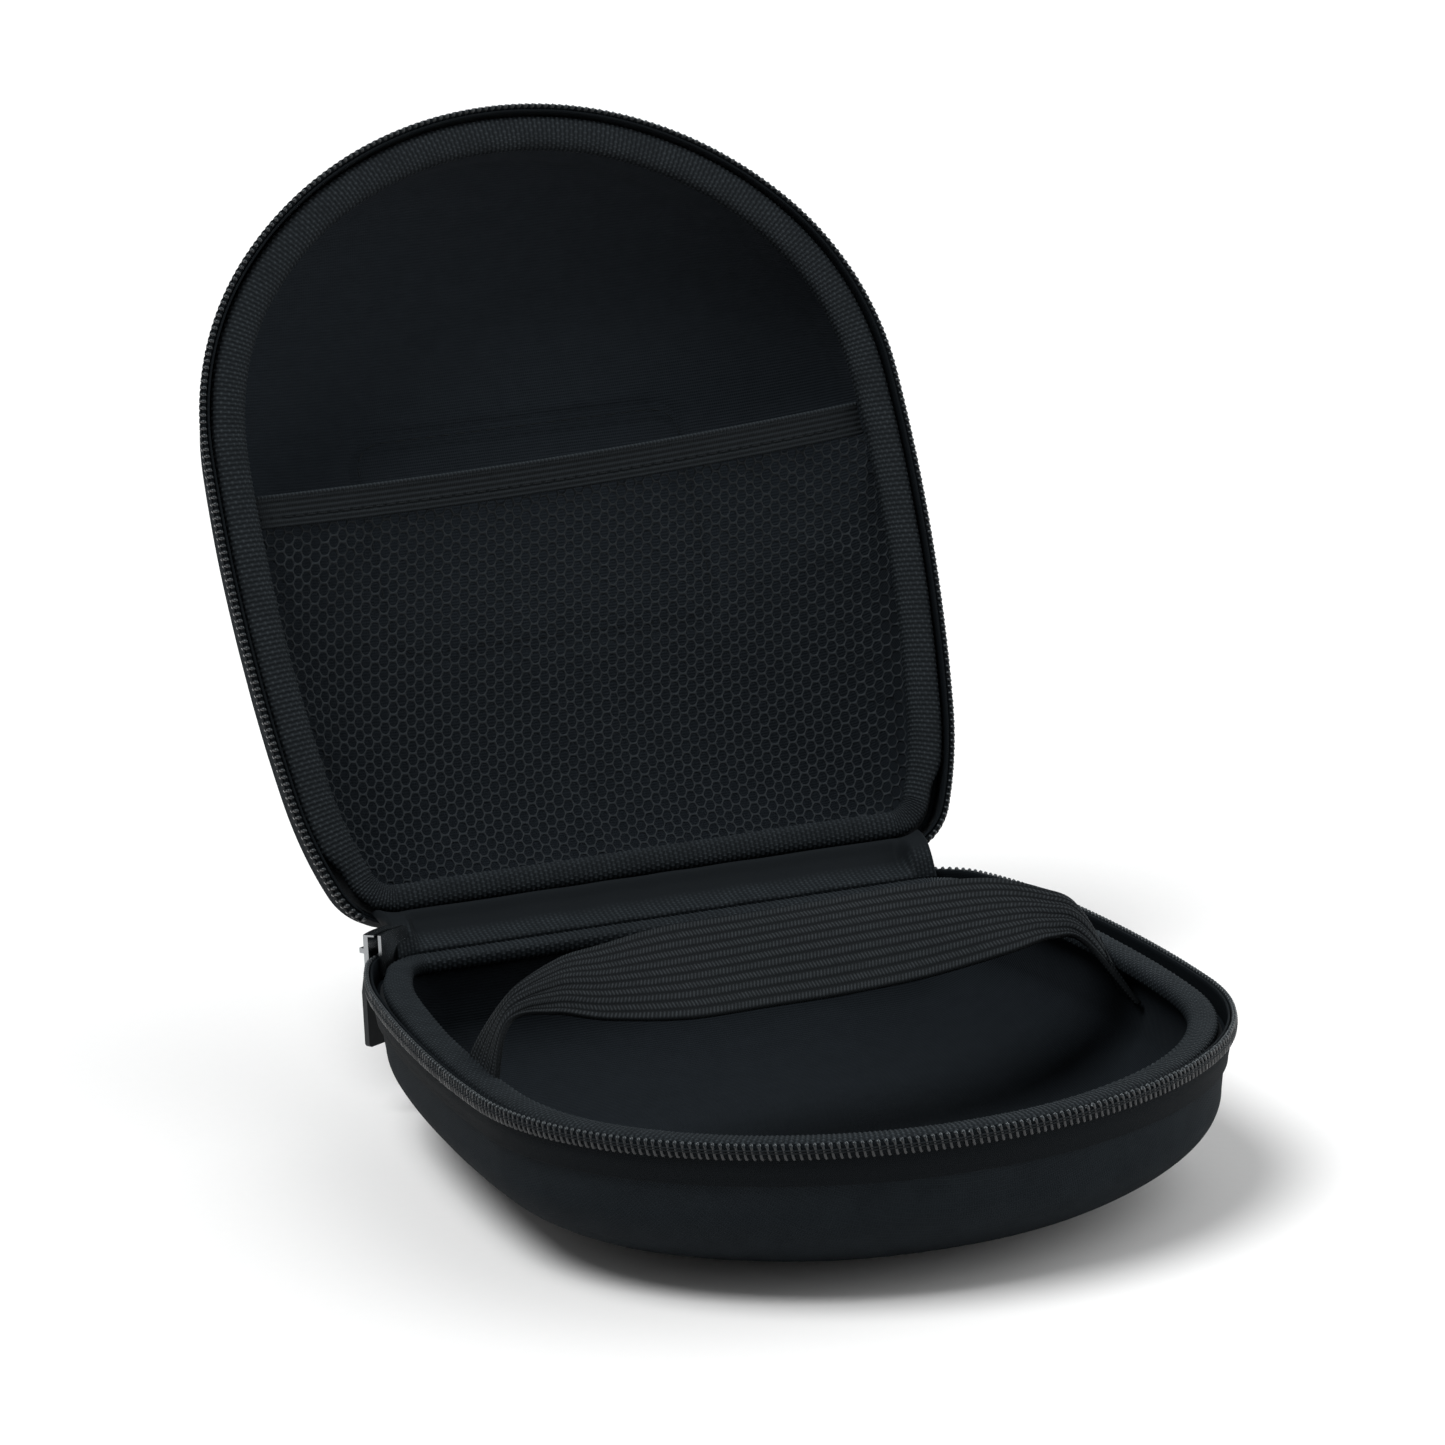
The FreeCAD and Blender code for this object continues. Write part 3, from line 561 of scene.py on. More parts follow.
# One lining cloth in two copies: the base's is darkened as painted shade, the lid's is lightened as painted
# light.
LININGS = {
    "base": lining_material("base_lining_knit", (0.0050, 0.0060, 0.0073), (0.0120, 0.0140, 0.0165)),
    "lid": lining_material("lid_lining_knit", (0.0094, 0.0113, 0.0138), (0.0200, 0.0234, 0.0278)),
}
BINDING = binding_material()
HINGE_FACING = binding_material("hinge_facing", toward_base)
TAPE = tape_material()
COIL = coil_material()
COIL_CORD = thread_material("coil_cord", (0.0050, 0.0060, 0.0070), (0.0120, 0.0138, 0.0155))
SEAM_THREAD = thread_material("seam_thread", (0.005, 0.0056, 0.0062), (0.016, 0.0175, 0.019))
ELASTIC = elastic_material()
HEM = hem_material()
NET = net_material()
FOAM = foam_material()
PATCH = patch_material()
METAL = metal_material()
PULLER = puller_material()


# ------------------------ domed halves
COVER_INSET = 1.5 * MM
WALL_TOP = 6.6 * MM
WALL_DEPTH = 20.0 * MM
WALL_DRAFT = 3.0 * MM
DOME_REACH = 55.0 * MM
DOME_RISE = RIM_Z - WALL_DEPTH
COVER_THICKNESS = 0.8 * MM
LINING_OFFSET = 4.3 * MM
LINING_THICKNESS = 0.7 * MM
RIM_COUNT = 460  # columns round a half
CROWN_STEP = 1.3 * MM
SWELLS = ((34 * MM, 3, 0.35 * MM), (11 * MM, 5, 0.08 * MM))  # size, noise seed and height

BADGE_HALF_LENGTH = 49.0 * MM
BADGE_HALF_WIDTH = 32.0 * MM
BADGE_CORNER = 9.0 * MM
BADGE_RECESS = 0.9 * MM
BADGE_RAISE = 1.1 * MM  # how far its backing lifts the lid's lining
BADGE_BACKING = 2.5 * MM  # how far the badge's backing reaches past it, inside the lid
BADGE_STITCHES = 67
BADGE_STITCH_INSET = 1.7 * MM


def wall_profile(offset):
    """(inset, depth) down one side of a half to the middle of its crown."""
    share = np.linspace(0, 1, 9)[:-1]
    wall_inset = COVER_INSET + (WALL_DRAFT - COVER_INSET) * share + offset
    wall = np.stack([wall_inset, WALL_TOP + (WALL_DEPTH - WALL_TOP) * share])
    angle = np.linspace(0, pi / 2, 40)
    normal = unit(np.stack([DOME_RISE * np.cos(angle), -DOME_REACH * np.sin(angle)], axis=-1)).T
    turn = np.stack([WALL_DRAFT + DOME_REACH * (1 - np.cos(angle)), WALL_DEPTH + DOME_RISE * np.sin(angle)])
    turn = turn + normal * offset
    crown_inset = np.arange(turn[0, -1] + CROWN_STEP, HALF_WIDTH - CROWN_STEP, CROWN_STEP)
    crown = np.stack([crown_inset, np.full_like(crown_inset, turn[1, -1])])
    return np.concatenate([wall, turn, crown], axis=1)


def dome_grid(offset):
    """Points and UV places of one dome surface, rows round the rim and columns to the crown."""
    inset, depth = wall_profile(offset)
    outline, _ = rim(np.arange(RIM_COUNT) * RIM_LENGTH / RIM_COUNT)
    flat = outline[:, None] * ((HALF_WIDTH - inset) / HALF_WIDTH)[:, None]
    height = np.broadcast_to(RIM_Z - depth, flat.shape[:2])
    steps = np.hypot(np.diff(inset), np.diff(depth))
    from_crown = (HALF_WIDTH - inset[-1]) + np.concatenate([np.cumsum(steps[::-1])[::-1], [0.0]])
    uv = np.concatenate([outline, outline[:1]])[:, None] * (from_crown / HALF_WIDTH)[:, None]
    return np.concatenate([flat, height[..., None]], axis=-1), uv


def grid_normals(points):
    """Outward unit normals of a wrapped dome grid."""
    around = np.roll(points, -1, axis=0) - np.roll(points, 1, axis=0)
    return unit(np.cross(np.gradient(points, axis=1), around))


def layer(half, offset, thickness, shape=None):
    """A closed sheet following the dome: outer face, inner face and the strip along the rim."""
    outer, uv = dome_grid(offset)
    inner, _ = dome_grid(offset + thickness)
    if shape is not None:
        outer, inner = shape(outer, inner)
    points = np.concatenate([inner[:, ::-1], outer], axis=1)
    uv = np.concatenate([uv[:, ::-1], uv], axis=1)
    sheet = Sheet(half)
    numbers, uv_numbers = sheet.grid(points, uv, wrap_rows=True)
    for column, flip in ((0, True), (-1, False)):
        centre = (0.0, 0.0, points[0, column, 2])
        sheet.fan(numbers[:, column], uv_numbers[:, column], centre, flip)
    return sheet


def settle_cover(outer, inner):
    """Let the cover stand a touch proud here and there, but stay flat where it rests."""
    free = smooth((outer[..., 2] - 1.0 * MM) / (6 * MM))
    free = free * smooth((RIM_Z - WALL_TOP - outer[..., 2]) / (4 * MM))
    swell = sum((0.5 + 0.5 * soft_noise(outer, size, seed)) * height for size, seed, height in SWELLS)
    return outer + grid_normals(outer) * (swell * free)[..., None], inner


def badge_distance(points, margin=0.0):
    """Signed distance from the badge's rounded outline, moved out by a margin."""
    corner = BADGE_CORNER + margin
    x = np.abs(points[..., 0]) - (BADGE_HALF_LENGTH + margin - corner)
    y = np.abs(points[..., 1]) - (BADGE_HALF_WIDTH + margin - corner)
    outside = np.hypot(np.maximum(x, 0), np.maximum(y, 0))
    return outside + np.minimum(np.maximum(x, y), 0) - corner


def recess_cover(outer, inner):
    """The lid's cover settles the same way, and is pressed in under the badge."""
    outer, inner = settle_cover(outer, inner)
    pressed = BADGE_RECESS * smooth(0.5 - badge_distance(outer) / (1.2 * MM))
    pressed = pressed[..., None] * (0.0, 0.0, 1.0)
    return outer + pressed, inner + pressed


def raise_badge_back(outer, inner):
    """The badge's backing presses a soft raised rectangle into the lid's lining."""
    edge = badge_distance(inner, BADGE_BACKING)
    raised = BADGE_RAISE * smooth(-edge / (2.6 * MM))
    quilt = 0.25 * MM * bell(edge + BADGE_BACKING + BADGE_STITCH_INSET, 1.0 * MM)
    ripple = 0.12 * MM * soft_noise(inner, 16 * MM, 8)
    lift = raised - quilt * (edge < 0) + ripple * smooth(-edge / (4 * MM))
    return outer, inner - grid_normals(inner) * lift[..., None]


def make_halves():
    """Cover and lining of both halves."""
    shapes = {"base": (settle_cover, None), "lid": (recess_cover, raise_badge_back)}
    for half, (cover_shape, lining_shape) in shapes.items():
        cover = layer(half, 0.0, COVER_THICKNESS, cover_shape)
        cover.place(half + "_cover_fabric", COVER, "cover_fabric", half + "_cover")
        lining = layer(half, LINING_OFFSET, LINING_THICKNESS, lining_shape)
        lining.place(half + "_lining_knit", LININGS[half], "lining_knit", half + "_lining")


# ------------------------ rolled binding
BINDING_INSET = 4.1 * MM
BINDING_WIDTH = 7.5 * MM
BINDING_DROP = 1.2 * MM
BINDING_HEIGHT = 5.2 * MM
BINDING_RELIEF = 0.36 * MM
BINDING_SQUARENESS = 2.7
BINDING_SPREAD = {"base": 0.7 * MM, "lid": 2.6 * MM}  # further out to the tape, clear of the corners
ROWS_PER_RIB = 5


def binding_section():
    """(across, up) round the roll, close together on the faces that can be seen."""
    seen = np.linspace(-0.62 * pi, 0.62 * pi, 36)
    hidden = np.linspace(0.62 * pi, 1.38 * pi, 8)[1:-1]
    angle = np.concatenate([seen, hidden])
    circle = np.stack([np.sin(angle), np.cos(angle)], axis=-1)
    half_size = np.array((BINDING_WIDTH / 2, BINDING_HEIGHT / 2)) - BINDING_RELIEF
    return half_size * np.sign(circle) * np.abs(circle) ** (2 / BINDING_SQUARENESS)


def make_binding(half):
    """Ribbed knit binding rolled over the wall's top edge."""
    ribs = 2 * int(round(RIM_LENGTH / RIB_PITCH / 2))
    rows = ROWS_PER_RIB * ribs
    s = np.arange(rows) * RIM_LENGTH / rows
    section = binding_section()
    girth = lengths_along(np.concatenate([section, section[:1]]))
    tangent = unit(np.roll(section, -1, axis=0) - np.roll(section, 1, axis=0))
    normal = np.stack([-tangent[:, 1], tangent[:, 0]], axis=-1)
    normal = normal * np.sign((normal * section).sum(axis=1, keepdims=True))
    ribs_along = np.cos(pi * s[:, None] * ribs / RIM_LENGTH)
    knit = ribs_along * np.cos(2 * pi * girth[:-1] / KNIT_PITCH)
    height = BINDING_RELIEF * (0.5 * ((knit + 1) / 2) ** 2 + 0.5 * np.abs(ribs_along))
    face = section + normal * height[..., None]
    sway = 0.09 * MM * np.sin(s / (21 * MM)) + 0.06 * MM * np.sin(s / (7.3 * MM))
    from_corner = np.minimum(s, REAR_START - s) / (CORNER_RADIUS * CORNER_TURN)
    clear = smooth((from_corner - 1.15) / 0.5)
    outer_share = np.clip(-section[:, 0] / (BINDING_WIDTH / 2), 0, 1)
    inset = BINDING_INSET + BINDING_WIDTH / 2 + face[..., 0] + sway[:, None]
    inset = inset - BINDING_SPREAD[half] * clear[:, None] * outer_share
    points = rim_points(s[:, None], inset, BINDING_DROP + BINDING_HEIGHT / 2 - face[..., 1])
    knit_s = np.append(s, RIM_LENGTH) * ribs * RIB_PITCH / RIM_LENGTH
    sheet = Sheet(half)
    sheet.grid(points, lattice(knit_s, girth), wrap_rows=True, wrap_columns=True, flip=True)
    sheet.place(half + "_binding_roll", BINDING, "binding_knit", half + "_binding")


# ------------------------ zipper chain
COIL_INSET = -0.375 * MM  # middle of the coil
COIL_DEPTH = 2.55 * MM
COIL_HALF_THICKNESS = 0.825 * MM
COIL_HALF_HEIGHT = 2.3 * MM
COIL_WIRE = 0.47 * MM
COIL_HEAD = 0.12 * MM
CORE_FRONT, CORE_BACK = 0.42 * MM, 1.1 * MM  # from the coil's middle, out and back to the tape
CORE_HALF_HEIGHT = 1.72 * MM
CORD_DEPTHS = (2.05 * MM, 2.65 * MM)
CORD_RADIUS = 0.26 * MM
CORD_SINK = 0.22 * MM
CORD_DIP = 0.10 * MM
TOOTH_PITCH = 1.92 * MM
TOOTH_STEPS = 16
CHAIN_START = 0.3 * MM
SLIDER_STOP = radians(36.0)  # heading on the corner where the lid's coil meets the slider
CHAIN_ENDS = {"base": REAR_START - CHAIN_START, "lid": REAR_START - CORNER_RADIUS * SLIDER_STOP}

TAPE_INSET = 0.6 * MM
TAPE_THICKNESS = 0.65 * MM
TAPE_TOP = 0.8 * MM
TAPE_BOTTOM = 12.0 * MM
TAPE_LEAN = 0.85 * MM  # how far it leans in to lie on the cover
TAPE_STEP = 1.6 * MM
POST_CLEAR = 3.3 * MM  # the lid's tape stays this deep where the slider's post parts the chain
POST_HEADINGS = (radians(17), radians(42))  # on the corner, from the rear edge
POST_FADE = 0.06


def make_coil(half):
    """One half of the zipper chain: a flattened helix with thicker heads."""
    last = CHAIN_ENDS[half]
    teeth = int((last - CHAIN_START) / TOOTH_PITCH)
    turn = np.arange(teeth * TOOTH_STEPS + 1) / TOOTH_STEPS
    angle = 2 * pi * turn
    outwards = np.sign(np.sin(angle)) * np.abs(np.sin(angle)) ** 0.6
    inset = COIL_INSET - (COIL_HALF_THICKNESS - COIL_WIRE) * outwards
    depth = COIL_DEPTH - (COIL_HALF_HEIGHT - COIL_WIRE - COIL_HEAD / 2) * np.cos(angle)
    from_head = np.mod(angle + pi, 2 * pi) - pi
    sheet = Sheet(half)
    path = rim_points(last - turn * TOOTH_PITCH, inset, depth)
    sheet.tube(path, COIL_WIRE + COIL_HEAD * bell(from_head, 0.55))
    sheet.place(half + "_coil_teeth", COIL, "zipper_coil", half + "_zipper_coil")


def make_coil_core(half):
    """The flat filler cord that runs inside the coil, so no light passes between its turns."""
    last = CHAIN_ENDS[half]
    s = np.linspace(CHAIN_START, last, int((last - CHAIN_START) / (0.48 * MM)))
    angle = np.linspace(0, 2 * pi, 10, endpoint=False)
    twist = 0.06 * MM * np.sin(2 * pi * s / (2.3 * MM))[:, None]
    side = np.sin(angle)
    inset = COIL_INSET + np.where(side > 0, CORE_BACK, CORE_FRONT) * side + twist
    points = rim_points(s[:, None], inset, COIL_DEPTH + CORE_HALF_HEIGHT * np.cos(angle) + twist)
    sheet = Sheet(half)
    sheet.sleeve(points, lattice(s, np.linspace(0, 9 * MM, len(angle) + 1)))
    sheet.place(half + "_coil_core", TAPE, "thread")


def make_coil_cord(half):
    """Sewing threads that hold the coil down, pulled in between the teeth."""
    last = CHAIN_ENDS[half]
    s = np.linspace(CHAIN_START, last, int((last - CHAIN_START) / TOOTH_PITCH) * 8 + 1)
    dip = CORD_DIP * np.cos(2 * pi * (last - s) / TOOTH_PITCH)
    sheet = Sheet(half)
    for depth in CORD_DEPTHS:
        inset = COIL_INSET - COIL_HALF_THICKNESS + CORD_SINK + dip
        sheet.tube(rim_points(s, inset, depth), CORD_RADIUS)
    sheet.place(half + "_coil_cord", COIL_CORD, "thread")


def tape_section(top):
    """(inset, depth) round the tape: hangs free by the coil, then lies on the cover."""
    depth = np.concatenate([[top], np.linspace(top + 0.15 * MM, TAPE_BOTTOM - 0.2 * MM, 12), [TAPE_BOTTOM]])
    lie = smooth((depth - WALL_TOP) / (TAPE_BOTTOM - WALL_TOP))
    rounding = np.array([0.18] + [0.0] * 12 + [0.22]) * MM
    outer = TAPE_INSET + TAPE_LEAN * lie + rounding
    inner = outer + TAPE_THICKNESS - 2 * rounding
    return np.concatenate([outer, inner[::-1]]), np.concatenate([depth, depth[::-1]])


def make_tape(half):
    """Woven tape under the coil; the lid's is notched where the slider's post passes."""
    s = np.linspace(0.0, REAR_START, int(REAR_START / TAPE_STEP) + 1)
    heading = (REAR_START - s) / CORNER_RADIUS
    first, last = POST_HEADINGS
    notch = smooth((heading - first) / POST_FADE) * smooth((last - heading) / POST_FADE) * (half == "lid")
    sections = np.array([tape_section(TAPE_TOP + (POST_CLEAR - TAPE_TOP) * share) for share in notch])
    girth = lengths_along(np.array(tape_section(TAPE_TOP)).T)
    girth = np.append(girth, girth[-1] + TAPE_THICKNESS)
    sheet = Sheet(half)
    sheet.sleeve(rim_points(s[:, None], sections[:, 0], sections[:, 1]), lattice(s, girth))
    sheet.place(half + "_tape_weave", TAPE, "zipper_tape", half + "_zipper_tape")


# ------------------------ bands of cloth
def surface_normals(points):
    """Unit normals of an open grid of points."""
    return unit(np.cross(np.gradient(points, axis=0), np.gradient(points, axis=1)))


def rounded(distance, width, least):
    """1 away from an edge, thinning out in a round to the least share at the edge."""
    return np.clip(distance / width, least, 1) ** 0.5


def band(sheet, middle, over, under, uv):
    """Add a closed band round a grid of middle points, with its heights to both sides of it."""
    normal = surface_normals(middle)
    bottom = middle - normal * under[..., None]
    points = np.concatenate([middle + normal * over[..., None], bottom[:, ::-1]], axis=1)
    girth = uv[..., 1].max() * 2
    uv = np.concatenate([uv, uv[:, ::-1] + (0.0, girth), uv[:, :1] + (0.0, 2 * girth)], axis=1)
    sheet.sleeve(points, uv)


def curve_through(stations, where):
    """Smooth curve through evenly spaced stations; where runs from 0 to the last station's number."""
    stations = np.asarray(stations, float)
    before, after = 2 * stations[:1] - stations[1:2], 2 * stations[-1:] - stations[-2:-1]
    padded = np.concatenate([before, stations, after])
    where = np.clip(where, 0, len(stations) - 1)
    first = np.minimum(where.astype(int), len(stations) - 2)
    t = (where - first)[:, None]
    a, b, c, d = (padded[first + k] for k in range(4))
    return 0.5 * (2 * b + (c - a) * t + (2 * a - 5 * b + 4 * c - d) * t**2 + (3 * b - a - 3 * c + d) * t**3)


# ------------------------ fabric hinge
HINGE_HALF_LENGTH = 71.0 * MM
HINGE_FREE_LENGTH = 67.6 * MM  # between the zipper's end stops
PANEL_THICKNESS = 0.6 * MM
PANEL_PUCKER = 0.25 * MM
OUTER_PANEL_PATH = (  # (y, z) at rest, from the base's wall past the hinge line to the lid's wall
    (110.15, 33.2), (110.15, 36.2), (110.45, 39.0), (112.6, 42.6), (115.45, 44.75),
    (119.2, 45.75), (123.1, 46.45), (126.0, 47.75), (128.7, 49.1),
)
FACING_INSET = 3.2 * MM
FACING_DEPTHS = (5.8 * MM, 3.2 * MM, 1.0 * MM)
FACING_BASE_TURN = radians(26)  # how far the facing runs round the corners
FACING_LID_TURN = radians(30)
FACING_THICKNESS = 0.5 * MM
FACING_DIP = -1.6 * MM  # the middle of the facing hangs toward the hinge line
FACING_CORNER_LIFT = 5.2 * MM
FACING_WAIST = 1.2 * MM  # how much its ends draw in halfway
FACING_CREASE = 0.16 * MM
FACING_EDGE = 0.006  # share of its half length over which a cloth thins out
PANEL_EDGE = 0.008


def facing_stations(s):
    """Facing line from the base's wall over to the lid's wall, for places s on the rim."""
    base = [rim_points(s, FACING_INSET, depth) for depth in FACING_DEPTHS]
    lid = [swing(points) for points in base[::-1]]
    low, high = base[-1], lid[0]
    away = unit(((low + high) / 2 - (0.0, HINGE[1], HINGE[2])) * (0.0, 1.0, 1.0))
    past_line = np.abs(s - REAR_MIDDLE) + CORNER[0]
    lift = FACING_DIP + FACING_CORNER_LIFT * smooth(past_line / (4 * MM) + 0.6)
    web = []
    for share in (0.25, 0.5, 0.75):
        web.append(low + (high - low) * share + away * (lift * sin(pi * share))[..., None])
    return np.array(base + web + lid)


def hinge_cloth(middle, uv, spans, rise, thickness, edge):
    """A band of cloth over the hinge, thinned out along its edges."""
    thin = rounded(1 - np.abs(spans), edge, 0.15)[:, None] * rounded(np.minimum(rise, 1 - rise), 0.02, 0.2)
    sheet = Sheet()
    band(sheet, middle, thickness / 2 * thin, thickness / 2 * thin, uv)
    return sheet


def make_facing():
    """Knit facing inside the hinge, run a little way round both corners."""
    rise = np.linspace(0, 1, 46)
    spans = np.linspace(-1, 1, 260)
    middle = np.empty((len(spans), len(rise), 3))
    uv = np.empty((len(spans), len(rise), 2))
    for number, share in enumerate(rise):
        turn = FACING_BASE_TURN + (FACING_LID_TURN - FACING_BASE_TURN) * smooth(share * 1.2 - 0.1)
        waist = FACING_WAIST * sin(pi * share) ** 2
        uv[:, number, 0] = spans * (CORNER_RADIUS * turn - CORNER[0] - waist)
        stations = facing_stations(REAR_MIDDLE + uv[:, number, 0])
        flat = stations.reshape(len(stations), -1)
        middle[:, number] = curve_through(flat, np.array([share * (len(stations) - 1)])).reshape(-1, 3)
    uv[..., 1] = lengths_along(middle[len(spans) // 2])
    crease = FACING_CREASE * np.sin(uv[..., 0] / (3.7 * MM) + 2 * np.sin(uv[..., 0] / (19 * MM)))
    middle[..., 2] += crease * np.sin(pi * rise) ** 2
    sheet = hinge_cloth(middle, uv, spans, rise, FACING_THICKNESS, FACING_EDGE)
    sheet.place("hinge_inner_facing", HINGE_FACING, "binding_knit", "hinge_lining", over_hinge=True)


def make_outer_panel():
    """Woven cloth outside the hinge, curved over from one half to the other."""
    along = curve_through(np.array(OUTER_PANEL_PATH) * MM, np.linspace(0, len(OUTER_PANEL_PATH) - 1, 44))
    spans = np.linspace(-1, 1, 160)
    rise = np.linspace(0, 1, len(along))
    half_length = HINGE_HALF_LENGTH + (HINGE_FREE_LENGTH - HINGE_HALF_LENGTH) * smooth((rise - 0.16) / 0.16)
    middle = np.empty((len(spans), len(along), 3))
    middle[..., 0] = spans[:, None] * half_length
    middle[..., 1:] = along
    waves = np.sin(spans * 23 + 1.1) * 0.5 + np.sin(spans * 41 + 0.4) * 0.3 + np.sin(spans * 71) * 0.2
    middle[..., 2] += PANEL_PUCKER * waves[:, None] * np.sin(pi * rise) ** 2
    uv = np.stack(np.broadcast_arrays(middle[..., 0], lengths_along(along)), axis=-1)
    sheet = hinge_cloth(middle, uv, spans, rise, PANEL_THICKNESS, PANEL_EDGE)
    sheet.place("hinge_outer_cloth", TAPE, "zipper_tape", "hinge_panel", over_hinge=True)


# ------------------------ pocket: net, hem and stitches
NET_INSET = 9.4 * MM
NET_Z = RIM_Z - 7.25 * MM
NET_DOWN = np.array((-0.6, 3.6)) * MM  # from one hole to the next in its column
NET_SIDE = np.array((2.2, 1.95)) * MM  # to the staggered hole in the next column
NET_HOLE = 1.3 * MM
NET_THREAD = 0.22 * MM
NET_UNDER_HEM = 1.2 * MM
NET_FOLD_HEIGHT = 0.8 * MM
NET_FOLD_LENGTH = 6.5 * MM
NET_BELLY = 1.2 * MM
HEM_WIDTH = 9.3 * MM
HEM_HALF_LENGTH = 88.6 * MM
HEM_MIDDLE_Y = -12.2 * MM
HEM_TILT = -0.029
HEM_SAG = 2.3 * MM
HEM_FACE = 0.42 * MM
HEM_BACK = 0.35 * MM
HEM_BOW = 0.8 * MM
HEM_CURL = 0.5 * MM
HEM_COLUMNS = 46
HEM_STITCHES = 50
HEM_THREAD = (0.13 * MM, 0.10 * MM)  # radius of a thread and how high its stitches stand
HEM_STITCH_REACH = HEM_HALF_LENGTH - 7.6 * MM
HEM_STITCH_PITCH = 2 * HEM_STITCH_REACH / HEM_STITCHES
NEEDLE_SHARE = 0.7  # how far down the hem its stitches run
CLOTH_COLUMNS = 61
CLOTH_ROWS = 41
CLOTH_FRAMES = 44
CLOTH_SETTINGS = {
    "vertex_group_mass": "pins", "quality": 6, "mass": 0.02, "tension_stiffness": 12.0,
    "compression_stiffness": 12.0, "shear_stiffness": 4.0, "bending_stiffness": 0.02, "shrink_min": -0.016,
}


def hem_top(x):
    """The pocket mouth's edge: it sags a little toward the hinge in the middle."""
    share = np.clip(x / HEM_HALF_LENGTH, -1, 1)
    return HEM_MIDDLE_Y + HEM_TILT * share * HEM_HALF_LENGTH - HEM_SAG * share**2


def net_top(x):
    """Where the net begins, tucked under the hem."""
    return hem_top(x) + HEM_WIDTH - NET_UNDER_HEM


def net_outline():
    """Half width of the net at each Y, as two rising lists."""
    point, normal = rim(np.linspace(0, RIM_LENGTH / 2, 900))
    edge = point - normal * NET_INSET
    return edge[::-1, 1], edge[::-1, 0]


NET_Y, NET_X = net_outline()
NET_REAR = NET_Y[-1]


def net_half_width(y):
    return np.interp(y, NET_Y, NET_X)


def hang_net():
    """Coarse net sheet hung by cloth simulation in the open lid; its moves from flat, in base half axes."""
    across, down = np.meshgrid(np.linspace(-1, 1, CLOTH_COLUMNS), np.linspace(0, 1, CLOTH_ROWS))
    top = net_top(across * HEM_HALF_LENGTH)
    y = top + down * (NET_REAR - top)
    flat = np.stack([across * net_half_width(y), y, np.full_like(y, NET_Z)], axis=-1)
    slant = (flat[..., 0] * 0.62 - flat[..., 1] * 0.78) / NET_FOLD_LENGTH
    folds = NET_FOLD_HEIGHT * np.sin(slant + np.sin(flat[..., 0] / (31 * MM)))
    folds = folds * smooth(np.minimum.reduce([down, 1 - down, 1 - np.abs(across)]) / 0.08)
    start = flat.copy()
    start[..., 2] -= folds + NET_BELLY * np.sin(pi * down) * (1 - across**2)
    sheet = Sheet("lid")
    sheet.grid(start, flat[..., :2])
    piece = sheet.build("net_cloth", NET)
    pins = piece.vertex_groups.new(name="pins")
    held = (down < 0.01) | (down > 0.99) | (np.abs(across) > 0.99)
    pins.add([int(number) for number in np.flatnonzero(held.ravel())], 1.0, "REPLACE")
    cloth = piece.modifiers.new("cloth", "CLOTH")
    for key, value in CLOTH_SETTINGS.items():
        setattr(cloth.settings, key, value)
    cloth.collision_settings.use_collision = False
    cloth.point_cache.frame_start = 1
    cloth.point_cache.frame_end = CLOTH_FRAMES
    scene = bpy.context.scene
    for number in range(1, CLOTH_FRAMES + 1):
        scene.frame_set(number)
    hung = piece.evaluated_get(bpy.context.evaluated_depsgraph_get()).to_mesh()
    settled = np.empty(len(hung.vertices) * 3, np.float32)
    hung.vertices.foreach_get("co", settled)
    bpy.data.objects.remove(piece)
    scene.frame_set(1)
    return swing(settled.astype(float).reshape(flat.shape)) - flat


def spread(moves, across, down):
    """Moves of the coarse sheet at any place on it."""
    column = np.clip((across + 1) / 2, 0, 1) * (CLOTH_COLUMNS - 1)
    row = np.clip(down, 0, 1) * (CLOTH_ROWS - 1)
    c = np.minimum(column.astype(int), CLOTH_COLUMNS - 2)
    r = np.minimum(row.astype(int), CLOTH_ROWS - 2)
    right, low = ((0.35 * smooth(t) + 0.65 * t)[..., None] for t in (column - c, row - r))
    upper = moves[r, c] * (1 - right) + moves[r, c + 1] * right
    lower = moves[r + 1, c] * (1 - right) + moves[r + 1, c + 1] * right
    return upper * (1 - low) + lower * low


def net_cell():
    """Spokes of one cell: where its boundary and its hole lie round the hole's centre, and its corners."""
    angle = np.arange(12) * pi / 6
    corner = np.arange(12) % 2 == 0
    spokes = np.stack([np.cos(angle), np.sin(angle)], axis=-1)
    stretch = np.stack([(NET_SIDE - NET_DOWN / 2) * 2 / sqrt(3), NET_DOWN], axis=-1)
    reach = np.where(corner, 1 / sqrt(3), 0.5)[:, None]
    hole = 0.5 * spokes * NET_HOLE + 0.5 * (spokes * 0.44) @ stretch.T
    return (spokes * reach) @ stretch.T, hole, corner


def net_centres():
    """Flat places of the net's holes, in leaning columns."""
    count = int(2 * HALF_WIDTH / NET_SIDE[0])
    column, row = np.meshgrid(np.arange(-count, count), np.arange(-2 * count, 2 * count))
    flat = column[..., None] * NET_SIDE + row[..., None] * NET_DOWN + (0.0, NET_REAR / 2)
    x, y = flat[..., 0], flat[..., 1]
    inside = (y > net_top(x)) & (y < NET_REAR - 0.8 * MM) & (np.abs(x) < net_half_width(y) - 1.0 * MM)
    return flat[inside]


